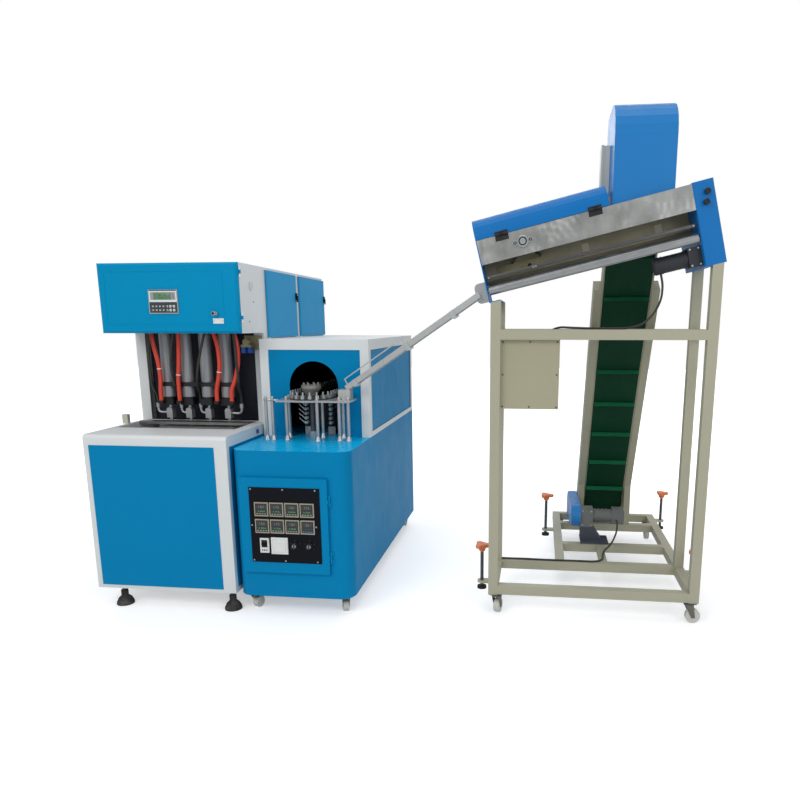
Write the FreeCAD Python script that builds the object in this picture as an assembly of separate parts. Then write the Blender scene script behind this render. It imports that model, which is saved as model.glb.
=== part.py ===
import FreeCAD, Part
import math
import os

# Semi-automatic stretch blow moulding line: a blowing unit, an infrared preform heater
# beside it, and a preform loader whose inclined rollers feed the heater through a chute.
# Millimetres. +X runs along the line from blower to loader, +Y to the back, +Z up.
# The model is laid out from the blower's front left bottom edge; on export it is moved so
# that the origin lies on the floor under the centre of the blower's front left foot.

V = FreeCAD.Vector

# ---------------------------------------------------------------- general fits
fit_gap = 0.5            # between a door or sliding block and what it passes
pin_clearance = 0.05     # radial, pins and shafts in their bores
float_gap = 0.4          # axial, between knuckles and beside wheels

# ---------------------------------------------------------------- blowing unit
blower_width = 800.0
blower_depth = 1695.0
cabinet_bottom_z = 102.0
deck_z = 962.0
deck_edge_radius = 22.0
bay_left_rim = 30.0
bay_right_rim = 70.0
bay_front_y = 255.0
bay_back_y = 700.0
bay_floor_z = 560.0
sheet = 2.0              # screwed-on cabinet panels
panel_margin = 30.0
panel_top_margin = 57.0

tower_front_y = 570.0
tower_wall = 4.0
tower_post = 60.0
partition_y = 620.0
head_bottom_z = 1486.0
head_top_z = 1859.0
head_lip = 26.0
control_door_front_y = 258.0
plug_y = control_door_front_y + 169.0    # closes a hole in the head's right side
plug_z = head_top_z - 116.0
plug_radius = 22.0
plug_rise = 2.0

control_door_depth = 24.0
control_door_bevel = 12.0
door_skin = 2.5
emboss_width = 3.0
emboss_depth = 1.0
emboss_left = 42.0
emboss_right = blower_width - 81.0
emboss_bottom_z = head_bottom_z + 46.0
emboss_top_z = head_top_z - 46.0
control_hinge_heights = (head_bottom_z + 84.0, head_top_z - 49.0)

operator_left = 293.0
operator_width = 168.0
operator_bottom_z = head_bottom_z + 104.0
operator_height = 128.0
operator_bezel = 6.0
operator_depth = 20.0
operator_flange = 8.0
display_height = 40.0
key_columns = 7
key_rows = 2
key_size = 12.0
key_pitch = 20.0

lock_x = blower_width - 129.0
lock_z = head_bottom_z + 106.0
lock_radius = 11.0
lock_shaft_radius = 8.0
lock_length = 14.0
lock_cam = 28.0

side_door_depth = 14.0
side_door_bottom_z = 1458.0
side_door_top_z = head_top_z - 16.0
front_door_width = 484.0
side_door_spacing = 67.0    # tower post between the two side doors
side_door_front_y = tower_front_y + 56.0
side_door_rear_y = blower_depth - 5.0
side_door_overlap = 14.0
side_pivot_radius = 3.0
side_pivot_inset = 7.0
latch_z = side_door_bottom_z + 252.0

foot_left_inset = 129.0
foot_right_inset = 37.0
foot_front_inset = 34.0
foot_rear_inset = 35.0
foot_pad_radius = 46.0
foot_pad_height = 80.0
foot_neck_radius = 19.0
foot_stem_radius = 9.0
foot_nut_height = 12.0

# four blowing stations in a row
stations = 4
station_pitch = 121.0
first_station_x = 228.0
station_y = 500.0
barrel_radius = 35.0
barrel_top_z = head_top_z - 69.0
clamp_top_z = 1202.0
clamp_thickness = 24.0
clamp_half_depth = 37.0
clamp_overhang = 38.0
collar_radius = 36.0
collar_length = 73.0
end_cap_half = 38.0
end_cap_height = 37.0
beam_height = 25.0
beam_half_depth = 60.0
nozzle_neck_radius = 9.0
nozzle_neck_length = 18.0
nozzle_width = 36.0
nozzle_depth = 40.0
nozzle_height = 60.0
nozzle_tip_length = 18.0
rod_radius = 5.0
rod_bore_gap = 0.4
rod_length = 300.0
rod_nose = 6.0
rod_protrusion = 2.0     # of the rod's nose below the nozzle at rest
elbow_radius = 7.0
elbow_bend = 20.0
elbow_rise = 56.0
elbow_socket_radius = 11.0
elbow_socket_length = 26.0
outer_elbow_reach = 60.0
inner_elbow_reach = 34.0
port_size = 28.0
port_height = 18.0
port_depth = 30.0

manifold_y = 421.0
manifold_half = 24.0
manifold_bottom_z = head_bottom_z + 74.0
manifold_height = 30.0
red_hose_radius = 12.0
black_hose_radius = 7.0
red_hose_y = 430.0
black_hose_y = 406.0
valve_x = 714.0
valve_z = 1404.0
valve_half_width = 30.0
valve_reach = 62.0
valve_block_height = 14.0
valve_dome_radius = 20.0
valve_plate_rise = 66.0
coil_half = 11.0
coil_height = 34.0
sensor_left = -20.0
sensor_front_y = 392.0
sensor_width = 34.0
sensor_height = 54.0

# moulds under the deck
neck_rail_top_z = 966.0
neck_rail_thickness = 16.0
neck_rail_half_depth = 22.0
neck_bore_radius = 14.0
mould_top_z = 940.0
mould_bottom_z = 640.0
mould_half_depth = 90.0
mould_side_margin = 50.0
mould_stroke = 80.0
platen_thickness = 25.0
platen_overhang = 95.0
cavity_radius = 31.0
cavity_neck_radius = 12.0
cavity_floor = 22.0
cavity_body_top = 232.0
cavity_neck_start = 272.0
tie_bar_radius = 15.0
tie_bar_inset = 40.0
tie_bar_heights = (675.0, 905.0)

# ---------------------------------------------------------------- heater
heater_left = blower_width + 11.0
heater_width = 638.0
heater_depth = 1771.0
heater_bottom_z = 96.0
table_z = 894.0
heater_corner_radius = 80.0
spacer_ys = (300.0, 1400.0)   # blocks that hold the two cabinets at their distance
spacer_size = 40.0
spacer_z = 480.0
oven_front_y = 470.0
oven_top_z = 1452.0
oven_post = 50.0
oven_bottom_rail = 28.0
oven_top_rail = 60.0
oven_inset = 6.0
roof_sheet = 2.0
arch_centre = 311.0      # from the heater's left side
arch_half_width = 144.0
arch_spring_z = 1184.0
panel_screw_radius = 5.0

panel_left = 51.0        # control panel door, from the heater's left side
panel_width = 473.0
panel_bottom_z = 238.0
panel_height = 517.0
panel_depth = 18.0
panel_frame = 45.0
electrics_depth = 350.0
electrics_margin = 20.0
plate_thickness = 3.0
plate_inset = 53.0
plate_bottom_inset = 60.0
plate_top_inset = 50.0
panel_hinge_heights = (328.0, 636.0)
instrument_size = 75.0
instrument_pitch = 82.0
instrument_columns = 4
instrument_rows = 2
instrument_row_pitch = 91.0
instrument_left = 28.0   # from the plate's left edge
instrument_bottom_z = 460.0
instrument_bezel = 6.0
instrument_body = 60.0
instrument_lip = 4.0
display_sink = 2.0
knob_xs = (237.0, 317.0)  # from the plate's left edge
knob_z = 396.0
knob_radius = 15.0
knob_length = 20.0
knob_shaft_radius = 5.0
breaker_left = 50.0
breaker_bottom_z = 353.0
breaker_width = 48.0
breaker_height = 79.0
socket_left = 109.0
socket_bottom_z = 346.0
socket_size = 91.0

# preform chain, its two turning wheels and the guide plate
track_radius = 115.0
front_turn_y = oven_front_y - 40.0
rear_turn_y = heater_depth - 211.0
guide_z = 1112.0
guide_thickness = 10.0
arch_clearance = 1.0     # between the arch and the guide plate that passes under it
guide_inner = 25.0
guide_apron = 113.0
chain_thickness = 6.0
chain_half_width = 8.0
holder_count = 78
holder_size = 18.0
holder_height = 20.0
holder_pin_radius = 5.0
holder_pin_height = 18.0
wheel_gap = 2.0
wheel_thickness = 8.0
wheel_shaft_radius = 12.0
hub_low_radius = 35.0
hub_high_radius = 55.0
hub_height = 65.0
hub_rim_height = 18.0
hub_foot_height = 16.0
hub_bolts = 8
hub_bolt_radius = 5.0
hub_bolt_height = 13.0
bearing_radius = 22.0
bearing_height = 40.0
guide_post_radius = 9.0
guide_post_foot = 17.0
guide_post_foot_height = 26.0
# (x from the heater's left side, y)
guide_posts = ((72.0, 345.0), (110.0, 345.0), (188.0, 350.0), (169.0, 440.0), (377.0, 318.0),
               (366.0, 446.0), (494.0, 345.0), (489.0, 440.0), (546.0, 345.0))
rail_end = 61.0
rail_radius = 6.0
inner_post_ys = (800.0, 1200.0)
lamps_per_side = 5
lamp_pitch = 27.0
lamp_lowest_z = 966.0
lamp_radius = 5.0
lamp_end_radius = 9.0
lamp_end_length = 24.0
lamp_offset = 74.0
lamp_front_y = oven_front_y + 90.0
lamp_rear_y = rear_turn_y - 140.0
reflector_offset = 52.0
reflector_thickness = 3.0
reflector_flange = 40.0

# ---------------------------------------------------------------- loader frame
loader_left = heater_left + heater_width + 711.0
loader_width = 1095.0
loader_front_y = 120.0
loader_depth = 450.0
tube = 50.0
frame_bottom_z = 112.0
mid_rail_z = 1460.0
base_rear_y = 1626.0
base_left_x = loader_left + 370.0
cross_rail_ys = (872.0, 1337.0)
cable_bar_x = loader_left + 630.0
cable_bar_width = 40.0
terminal_plate_width = 295.0
terminal_plate_height = 348.0
terminal_plate_thickness = 3.0

# ---------------------------------------------------------------- unscrambler, built level
# and then tilted: s runs up the incline, n is square to it
tilt_degrees = 13.5
unscrambler_x = loader_left - 7.0
unscrambler_z = 1638.0
trough_front_y = 124.0
trough_back_y = 300.0
trough_sheet = 3.0
body_rear_y = 335.0
left_plate = 5.0
foot_flange_length = 57.0
foot_flange = 4.0
body_length = 1127.0
end_box_start = 1030.0
end_box_low = -80.0
end_box_high = 304.0
side_plate_low = 182.0
side_plate_high = 300.0
trough_back_low = 112.0
cover_length = 652.0
cover_top = 406.0
cover_radius = 85.0
cover_sheet = 2.5
cover_gap = 2.0
cover_hinges = (130.0, 585.0)
roller_radius = 21.5
front_roller_y = 148.0
front_roller_n = 56.0
rear_roller_y = 224.0
rear_roller_n = 72.0
roller_end_gap = 7.0
journal_radius = 8.0
journal_depth = 15.0
paddle_s = 222.0
paddle_n = 244.0
paddle_radius = 106.0
paddle_shaft_radius = 10.0
paddle_blades = 4
paddle_blade = 5.0
paddle_front_y = 162.0
paddle_rear_y = 290.0
flange_half = 38.0
flange_disc = 29.0
flange_ear = 13.0
flange_bolt = 7.0
flange_bolt_rise = 3.0
flange_thickness = 8.0
motor_start = 810.0
motor_radius = 40.0
motor_gearbox = 47.0
motor_gearbox_length = 62.0
motor_y = 205.0
motor_n = -22.0
end_bolt_places = ((1078.0, 205.0), (1090.0, 250.0))
end_bolt_radius = 13.0
end_bolt_height = 10.0
bracket_places = (520.0, 880.0)
bracket_size = 34.0
bracket_thickness = 4.0
bracket_height = 58.0
plate_edge_gap = 8.0    # from the hood to the side plate's top sheet

tower_left_x = loader_left + 570.0
tower_width = 286.0
tower_front_face_y = 150.0
tower_back_y = 545.0
tower_top_z = 2566.0
tower_skin = 3.0
tower_bend = 165.0
tower_opening_low = 2075.0
tower_opening_high = 2300.0
tower_box_depth = 42.0
tower_box_width = 80.0
tower_box_height = 225.0
tower_box_y = 366.0
tower_box_z = 2178.0
tower_box_door = 12.0
tower_box_lip = 3.0
throat_margin = 15.0
throat_front = 28.0
throat_rear = 2.0

# ---------------------------------------------------------------- elevator
elevator_x = tower_left_x + tower_width / 2
tail_y = 1520.0
tail_z = 250.0
head_y = 330.0
head_z = 2290.0
pulley_radius = 50.0
belt_width = 252.0
belt_thickness = 4.0
belt_clearance = 0.4
cleat_height = 38.0
cleat_thickness = 6.0
cleat_count = 21
cleat_side_gap = 5.0
side_plate_gap = 6.0     # from belt edge to side plate
elevator_plate = 4.0
elevator_plate_half = 52.0
channel_width = 42.0
channel_half_depth = 55.0
channel_top_z = 1745.0
bed_thickness = 3.0
pulley_shaft_radius = 12.0
pulley_end_gap = 2.0
leg_y = 1345.0
guard_width = 60.0
guard_edge_radius = 14.0
guard_motor_radius = 72.0
guard_tail_radius = 99.0
drive_y = 1000.0
drive_z = 322.0
gearbox_length = 78.0
gearbox_half = 50.0
drive_radius = 42.0
drive_length = 118.0
end_housing_length = 74.0
end_housing_half = 44.0
drive_plate = 8.0
pedestal_top = 36.0
pedestal_foot = 96.0
bin_wall = 3.0
bin_rear_y = 1890.0
bin_top_z = 640.0
bin_step_z = 420.0
bin_foot_y = 1655.0
bin_foot_z = 185.0
cable_radius = 5.5

# ---------------------------------------------------------------- chute
chute_top = (unscrambler_x - 41.0, 184.0, unscrambler_z + 30.0)
chute_low = (heater_left + 539.0, front_turn_y - 34.0, guide_z + 60.0)
chute_gap = 28.0
chute_rail = 4.0
chute_height = 30.0
chute_clamp_width = 26.0
chute_clamp_wall = 5.0
chute_clamp_floor = 8.0
chute_clamps = (0.06, 0.47, 0.80)
chute_rod_radius = 3.0
chute_rod_height = 34.0
chute_rod_start = 0.02   # shares of the chute's length
chute_rod_reach = 0.5
chute_stay = 6.0
gate_width = 40.0
gate_depth = 52.0
hook_reach = 62.0
hook_low = 8.0
hook_high = 108.0
hook_radius = 24.0
hook_thickness = 6.0

# ---------------------------------------------------------------- casters and jacks
heater_wheel_radius = 31.0
loader_wheel_radius = 38.0
wheel_width = 32.0
caster_trail = 22.0
caster_plate = 64.0
caster_plate_thickness = 4.0
kingpin_radius = 7.0
fork_block = 11.0
fork_cheek = 3.0
fork_side_gap = 1.5
axle_radius = 4.0
heater_caster_inset = 55.0
heater_caster_left = 72.0
heater_caster_front = 60.0
heater_caster_rear = 71.0
loader_caster_inset = 45.0
loader_caster_front = 25.0
loader_caster_rear = 40.0

jack_names = ("jack_front_left", "jack_front_right", "jack_rear_left", "jack_rear_right")
jack_sides = (-1.0, 1.0, -1.0, 1.0)
jack_ys = (loader_front_y + 80.0, loader_front_y + 330.0, base_rear_y - 437.0, base_rear_y - 136.0)
jack_knob_zs = (353.0, 268.0, 388.0, 350.0)
jack_pad_zs = (118.0, 62.0, 118.0, 100.0)
jack_reaches = (40.0, 40.0, 56.0, 34.0)
jack_screw_radius = 9.0
jack_bracket_half = 24.0
jack_bracket_thickness = 12.0
jack_pad_radius = 25.0
jack_pad_height = 14.0
jack_knob_radius = 38.0
jack_knob_height = 22.0
jack_lobes = 3

# butt hinges
knuckle_radius = 6.0
hinge_pin_radius = 3.0
hinge_leaf = 16.0
hinge_leaf_thickness = 3.0
hinge_length = 60.0
corner_hinge_gap = 0.3   # from a corner hinge's fixed knuckles to the door's edge


# ---------------------------------------------------------------- shape helpers
def box(x0, x1, y0, y1, z0, z1):
    return Part.makeBox(x1 - x0, y1 - y0, z1 - z0, V(x0, y0, z0))


def rod(start, end, radius):
    run = end - start
    return Part.makeCylinder(radius, run.Length, start, run)


def polygon(points):
    return Part.Face(Part.makePolygon(points + [points[0]]))


def prism_x(outline, x0, x1):
    """Extrudes a (y, z) outline along X."""
    face = polygon([V(x0, y, z) for y, z in outline])
    return face.extrude(V(x1 - x0, 0, 0))


def prism_y(outline, y0, y1):
    """Extrudes an (x, z) outline along Y."""
    face = polygon([V(x, y0, z) for x, z in outline])
    return face.extrude(V(0, y1 - y0, 0))


def prism_z(outline, z0, z1):
    """Extrudes an (x, y) outline along Z."""
    face = polygon([V(x, y, z0) for x, y in outline])
    return face.extrude(V(0, 0, z1 - z0))


def fused(shapes):
    return shapes[0].multiFuse(shapes[1:]).removeSplitter()


def group(shapes):
    return Part.makeCompound(shapes)


def moved(shape, x, y, z):
    copy = shape.copy()
    copy.translate(V(x, y, z))
    return copy


def turned_about(shape, centre, axis, degrees):
    copy = shape.copy()
    copy.rotate(centre, axis, degrees)
    return copy


def framed(shape, origin, x_axis, y_axis):
    """Moves a shape from its own axes to the given origin and axes."""
    z_axis = x_axis.cross(y_axis)
    matrix = FreeCAD.Matrix(x_axis.x, y_axis.x, z_axis.x, origin.x,
                            x_axis.y, y_axis.y, z_axis.y, origin.y,
                            x_axis.z, y_axis.z, z_axis.z, origin.z,
                            0, 0, 0, 1)
    copy = shape.copy()
    copy.Placement = FreeCAD.Placement(matrix).multiply(copy.Placement)
    return copy


def edges_where(shape, test):
    """Edges whose two end points both pass the test."""
    return [edge for edge in shape.Edges
            if len(edge.Vertexes) == 2 and all(test(vertex.Point) for vertex in edge.Vertexes)]


def near(value, target):
    return abs(value - target) < 0.01


def turned_profile(points):
    """Revolves (radius, height) points about the local Z axis."""
    face = polygon([V(radius, 0, height) for radius, height in points])
    return face.revolve(V(0, 0, 0), V(0, 0, 1), 360)


def stadium(y0, y1, half_width, centre_x, z0, z1):
    """Long slot shape in plan, its straight sides along Y."""
    return fused([box(centre_x - half_width, centre_x + half_width, y0, y1, z0, z1),
                  rod(V(centre_x, y0, z0), V(centre_x, y0, z1), half_width),
                  rod(V(centre_x, y1, z0), V(centre_x, y1, z1), half_width)])


def hose(points, radius, name):
    """Round hose along straight runs joined by tangent arcs as large as the runs allow."""
    edges = []
    last = points[0]
    length = 0.0
    for before, corner, after in zip(points, points[1:], points[2:]):
        way_in = (corner - before).normalize()
        way_out = (after - corner).normalize()
        turn = way_in.getAngle(way_out)
        shorter = min((corner - before).Length, (after - corner).Length)
        setback = 0.45 * shorter
        bend = setback / math.tan(turn / 2)
        arc_start = corner - way_in * setback
        arc_end = corner + way_out * setback
        inward = (way_out - way_in).normalize()
        middle = corner + inward * (bend / math.cos(turn / 2) - bend)
        edges.append(Part.LineSegment(last, arc_start).toShape())
        edges.append(Part.Arc(arc_start, middle, arc_end).toShape())
        length += (arc_start - last).Length + bend * turn
        last = arc_end
        print(name, "bend radius", round(bend, 1), "=", round(bend / (2 * radius), 1), "diameters")
    edges.append(Part.LineSegment(last, points[-1]).toShape())
    length += (points[-1] - last).Length
    path = Part.Wire(edges)
    heading = points[1] - points[0]
    section = Part.Wire([Part.makeCircle(radius, points[0], heading)])
    solid = path.makePipeShell([section], True, False)
    wanted = math.pi * radius ** 2 * length
    print(name, "volume over section times length", round(solid.Volume / wanted, 4))
    return solid


def butt_hinge(centre, moving_way, outward, length, corner=False):
    """Fixed half with its pin and moving half with its bore. The knuckle touches the face
    that the fixed leaf lies on; a corner hinge stands off it and its moving leaf turns outward."""
    third = length / 6
    stand_off = corner_hinge_gap if corner else 0
    leaf_low = -knuckle_radius - stand_off
    leaf_high = -knuckle_radius + hinge_leaf_thickness
    fixed = [rod(V(0, 0, -length / 2), V(0, 0, length / 2), hinge_pin_radius)]
    for low, high in ((-length / 2, -third), (third, length / 2)):
        fixed.append(rod(V(0, 0, low), V(0, 0, high), knuckle_radius))
        fixed.append(box(-hinge_leaf, 0, leaf_low, leaf_high, low, high))
    half = third - float_gap
    if corner:
        leaf = box(knuckle_radius - hinge_leaf_thickness, knuckle_radius + stand_off, 0,
                   panel_depth - knuckle_radius - stand_off, -half, half)
    else:
        leaf = box(0, hinge_leaf, leaf_low, leaf_high, -half, half)
    moving = fused([rod(V(0, 0, -half), V(0, 0, half), knuckle_radius), leaf])
    moving = moving.cut(rod(V(0, 0, -half), V(0, 0, half), hinge_pin_radius + pin_clearance))
    return (framed(fused(fixed), centre, moving_way, outward), framed(moving, centre, moving_way, outward))


nodes = {}
side_door_edges = ((side_door_front_y, side_door_front_y + front_door_width),
                   (side_door_front_y + front_door_width + side_door_spacing, side_door_rear_y))
foot_places = [(x, y) for y in (foot_front_inset, blower_depth - foot_rear_inset)
               for x in (foot_left_inset, blower_width - foot_right_inset)]


# ================================================================ blowing unit
tower_right = blower_width - tower_wall
station_xs = [first_station_x + index * station_pitch for index in range(stations)]
last_station_x = station_xs[-1]
bay_right = blower_width - bay_right_rim
control_door_back_y = control_door_front_y + control_door_depth
head_front_y = control_door_back_y + fit_gap


def blower_cabinet():
    body = box(0, blower_width, 0, blower_depth, cabinet_bottom_z, deck_z)
    body = body.makeFillet(deck_edge_radius,
                           edges_where(body, lambda p: near(p.y, 0) and near(p.z, deck_z)))
    return body.cut(box(bay_left_rim, bay_right, bay_front_y, bay_back_y, bay_floor_z, deck_z + 1))


def side_door_openings():
    return [(front + side_door_overlap, rear - side_door_overlap) for front, rear in side_door_edges]


def blower_tower():
    shell = box(0, blower_width, tower_front_y, blower_depth, deck_z, head_top_z)
    inner_low = deck_z + tower_wall
    inner_high = head_top_z - tower_wall
    inner = box(tower_wall, tower_right, tower_front_y + tower_wall, blower_depth - tower_wall,
                inner_low, inner_high)
    partition = box(tower_wall, tower_right, partition_y, partition_y + tower_wall, inner_low, inner_high)
    front = box(tower_post, blower_width - tower_post, tower_front_y, tower_front_y + tower_wall,
                inner_low, inner_high)
    cuts = [inner, front]
    for low_y, high_y in side_door_openings():
        cuts.append(box(tower_right, blower_width, low_y, high_y,
                        side_door_bottom_z + side_door_overlap, side_door_top_z - side_door_overlap))
    shell = fused([shell.cut(cuts), partition])
    pivots = []
    for front_y, rear_y in side_door_edges:
        pivot_y = front_y + side_pivot_inset
        for end_z, way in ((side_door_bottom_z, -1), (side_door_top_z, 1)):
            ear_near = end_z + way * float_gap
            ear_far = ear_near + way * 5
            pivots.append(box(blower_width, blower_width + side_door_depth, pivot_y - 7, pivot_y + 7,
                              min(ear_near, ear_far), max(ear_near, ear_far)))
            pin_x = blower_width + side_pivot_inset
            pivots.append(rod(V(pin_x, pivot_y, ear_near), V(pin_x, pivot_y, end_z - way * 12),
                              side_pivot_radius))
    return fused([shell] + pivots)


def side_door(front_y, rear_y):
    inner_x = blower_width + fit_gap
    outer_x = inner_x + side_door_depth - fit_gap
    leaf = box(inner_x, outer_x, front_y, rear_y, side_door_bottom_z, side_door_top_z)
    pan = box(inner_x, outer_x - door_skin, front_y + 16, rear_y - door_skin,
              side_door_bottom_z + 16, side_door_top_z - 16)
    leaf = leaf.cut(pan)
    pivot_y = front_y + side_pivot_inset
    pin_x = blower_width + side_pivot_inset
    bore = rod(V(pin_x, pivot_y, side_door_bottom_z), V(pin_x, pivot_y, side_door_top_z),
               side_pivot_radius + pin_clearance)
    round_edge = rod(V(pin_x, pivot_y, side_door_bottom_z), V(pin_x, pivot_y, side_door_top_z),
                     side_pivot_inset - fit_gap)
    corner = box(inner_x, outer_x, front_y, pivot_y, side_door_bottom_z, side_door_top_z)
    leaf = leaf.cut(corner.cut(round_edge))
    leaf = leaf.cut(bore)
    latch = [box(outer_x, outer_x + 8, rear_y - 24, rear_y - 2, latch_z - 22, latch_z + 22),
             box(outer_x + 8, outer_x + 14, rear_y - 21, rear_y - 7, latch_z - 34, latch_z + 6)]
    return fused([leaf] + latch)


def control_hinges():
    return [butt_hinge(V(blower_width + knuckle_radius, head_front_y - fit_gap / 2, height),
                       V(0, -1, 0), V(1, 0, 0), hinge_length) for height in control_hinge_heights]


def head_shell():
    shell = box(0, blower_width, head_front_y, tower_front_y, head_bottom_z, head_top_z)
    inner = box(tower_wall, tower_right, head_front_y, tower_front_y, head_bottom_z,
                head_top_z - tower_wall)
    shell = shell.cut(inner)
    lips = [box(tower_wall, head_lip, head_front_y, head_front_y + tower_wall,
                head_bottom_z, head_top_z - tower_wall),
            box(blower_width - head_lip, tower_right, head_front_y, head_front_y + tower_wall,
                head_bottom_z, head_top_z - tower_wall),
            box(tower_wall, tower_right, head_front_y, head_front_y + head_lip,
                head_bottom_z, head_bottom_z + tower_wall)]
    plug = rod(V(blower_width, plug_y, plug_z), V(blower_width + plug_rise, plug_y, plug_z), plug_radius)
    fixed_halves = [fixed for fixed, moving in control_hinges()]
    return fused([shell, plug] + lips + fixed_halves)


def control_door():
    leaf = box(0, blower_width, control_door_front_y, control_door_back_y, head_bottom_z, head_top_z)
    leaf = leaf.makeChamfer(control_door_bevel,
                            edges_where(leaf, lambda p: near(p.y, control_door_front_y)))
    hollow = box(control_door_bevel + door_skin, blower_width - control_door_bevel - door_skin,
                 control_door_front_y + door_skin, control_door_back_y,
                 head_bottom_z + control_door_bevel + door_skin,
                 head_top_z - control_door_bevel - door_skin)
    window = box(operator_left + operator_flange, operator_left + operator_width - operator_flange,
                 control_door_front_y, control_door_back_y, operator_bottom_z + operator_flange,
                 operator_bottom_z + operator_height - operator_flange)
    groove = box(emboss_left, emboss_right, control_door_front_y, control_door_front_y + emboss_depth,
                 emboss_bottom_z, emboss_top_z)
    groove = groove.cut(box(emboss_left + emboss_width, emboss_right - emboss_width,
                            control_door_front_y, control_door_front_y + emboss_depth,
                            emboss_bottom_z + emboss_width, emboss_top_z - emboss_width))
    lock_bore = rod(V(lock_x, control_door_front_y, lock_z), V(lock_x, control_door_back_y, lock_z),
                    lock_shaft_radius + pin_clearance)
    leaf = leaf.cut([hollow, window, groove, lock_bore])
    moving_halves = [moving for fixed, moving in control_hinges()]
    return fused([leaf] + moving_halves)


def operator_panel():
    right = operator_left + operator_width
    top = operator_bottom_z + operator_height
    face_y = control_door_front_y - operator_bezel
    body_gap = operator_flange + fit_gap
    bezel = box(operator_left, right, face_y, control_door_front_y, operator_bottom_z, top)
    housing = box(operator_left + body_gap, right - body_gap, control_door_front_y,
                  control_door_front_y + operator_depth, operator_bottom_z + body_gap, top - body_gap)
    display = box(operator_left + 12, right - 12, face_y, face_y + display_sink,
                  top - 14 - display_height, top - 14)
    panel = fused([bezel, housing]).cut(display)
    keys = []
    first_x = operator_left + operator_width / 2 - (key_columns - 1) * key_pitch / 2
    for row in range(key_rows):
        for column in range(key_columns):
            key_x = first_x + column * key_pitch
            key_z = operator_bottom_z + 20 + row * key_pitch
            keys.append(box(key_x - key_size / 2, key_x + key_size / 2, face_y - 1.5, face_y,
                            key_z - key_size / 2, key_z + key_size / 2))
    return fused([panel] + keys)


def door_lock():
    face_y = control_door_front_y - float_gap
    cam_y = control_door_front_y + door_skin + float_gap
    head = rod(V(lock_x, face_y - lock_length, lock_z), V(lock_x, face_y, lock_z), lock_radius)
    grip = box(lock_x - 2.5, lock_x + 2.5, face_y - lock_length - 6, face_y - lock_length,
               lock_z - 9, lock_z + 9)
    shaft = rod(V(lock_x, face_y, lock_z), V(lock_x, cam_y, lock_z), lock_shaft_radius)
    cam = box(lock_x - lock_cam, lock_x + lock_shaft_radius, cam_y, cam_y + 4,
              lock_z - lock_shaft_radius, lock_z + lock_shaft_radius)
    return fused([head, grip, shaft, cam])


def blower_panels():
    low = cabinet_bottom_z + panel_margin
    high = deck_z - panel_top_margin
    upper_low = side_door_bottom_z
    panels = [box(panel_margin, blower_width - bay_right_rim, -sheet, 0, low - 10, high),
              box(-sheet, 0, panel_margin, blower_depth - panel_margin, low, high),
              box(blower_width, blower_width + sheet, panel_margin, blower_depth - panel_margin, low, high),
              box(panel_margin, blower_width - panel_margin, blower_depth, blower_depth + sheet, low, high),
              box(panel_margin, blower_width - panel_margin, blower_depth, blower_depth + sheet,
                  deck_z + panel_margin, head_top_z - panel_margin)]
    for front_y, rear_y in side_door_edges:
        panels.append(box(-sheet, 0, front_y, rear_y, upper_low, side_door_top_z))
    return group(panels)


def levelling_feet():
    feet = []
    nut_low = cabinet_bottom_z - foot_nut_height
    for x, y in foot_places:
        pad = turned_profile([(0, 0), (foot_pad_radius, 0), (foot_pad_radius, foot_pad_height * 0.14),
                              (foot_pad_radius * 0.78, foot_pad_height * 0.42),
                              (foot_neck_radius, foot_pad_height * 0.62),
                              (foot_neck_radius, foot_pad_height), (0, foot_pad_height)])
        hexagon = [V(x + 15 * math.cos(math.radians(60 * k)), y + 15 * math.sin(math.radians(60 * k)),
                     nut_low) for k in range(6)]
        nut = polygon(hexagon).extrude(V(0, 0, foot_nut_height))
        stem = rod(V(x, y, foot_pad_height), V(x, y, nut_low), foot_stem_radius)
        feet.append(fused([moved(pad, x, y, 0), stem, nut]))
    return group(feet)


clamp_bottom_z = clamp_top_z - clamp_thickness
collar_bottom_z = clamp_bottom_z - collar_length
cap_bottom_z = collar_bottom_z - end_cap_height
nozzle_top_z = cap_bottom_z - nozzle_neck_length
nozzle_bottom_z = nozzle_top_z - nozzle_height
rod_bore_radius = rod_radius + rod_bore_gap
port_top_z = collar_bottom_z - 9
# ports sit on the end cap's front where the red hose reaches it: (station, offset)
port_places = ((0, -24.0), (1, -31.0), (3, -44.0), (3, 46.0))


def rod_bore(x, z0, z1):
    return rod(V(x, station_y, z0), V(x, station_y, z1), rod_bore_radius)


def port_x(station, offset):
    return station_xs[station] + offset


def stretch_cylinders():
    barrels = []
    for x in station_xs:
        upper = rod(V(x, station_y, clamp_top_z), V(x, station_y, barrel_top_z), barrel_radius)
        upper = upper.cut(rod_bore(x, clamp_top_z, barrel_top_z))
        lower = rod(V(x, station_y, collar_bottom_z), V(x, station_y, clamp_bottom_z), collar_radius)
        lower = lower.cut(rod_bore(x, collar_bottom_z, clamp_bottom_z))
        barrels.extend([upper, lower])
    return group(barrels)


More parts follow.
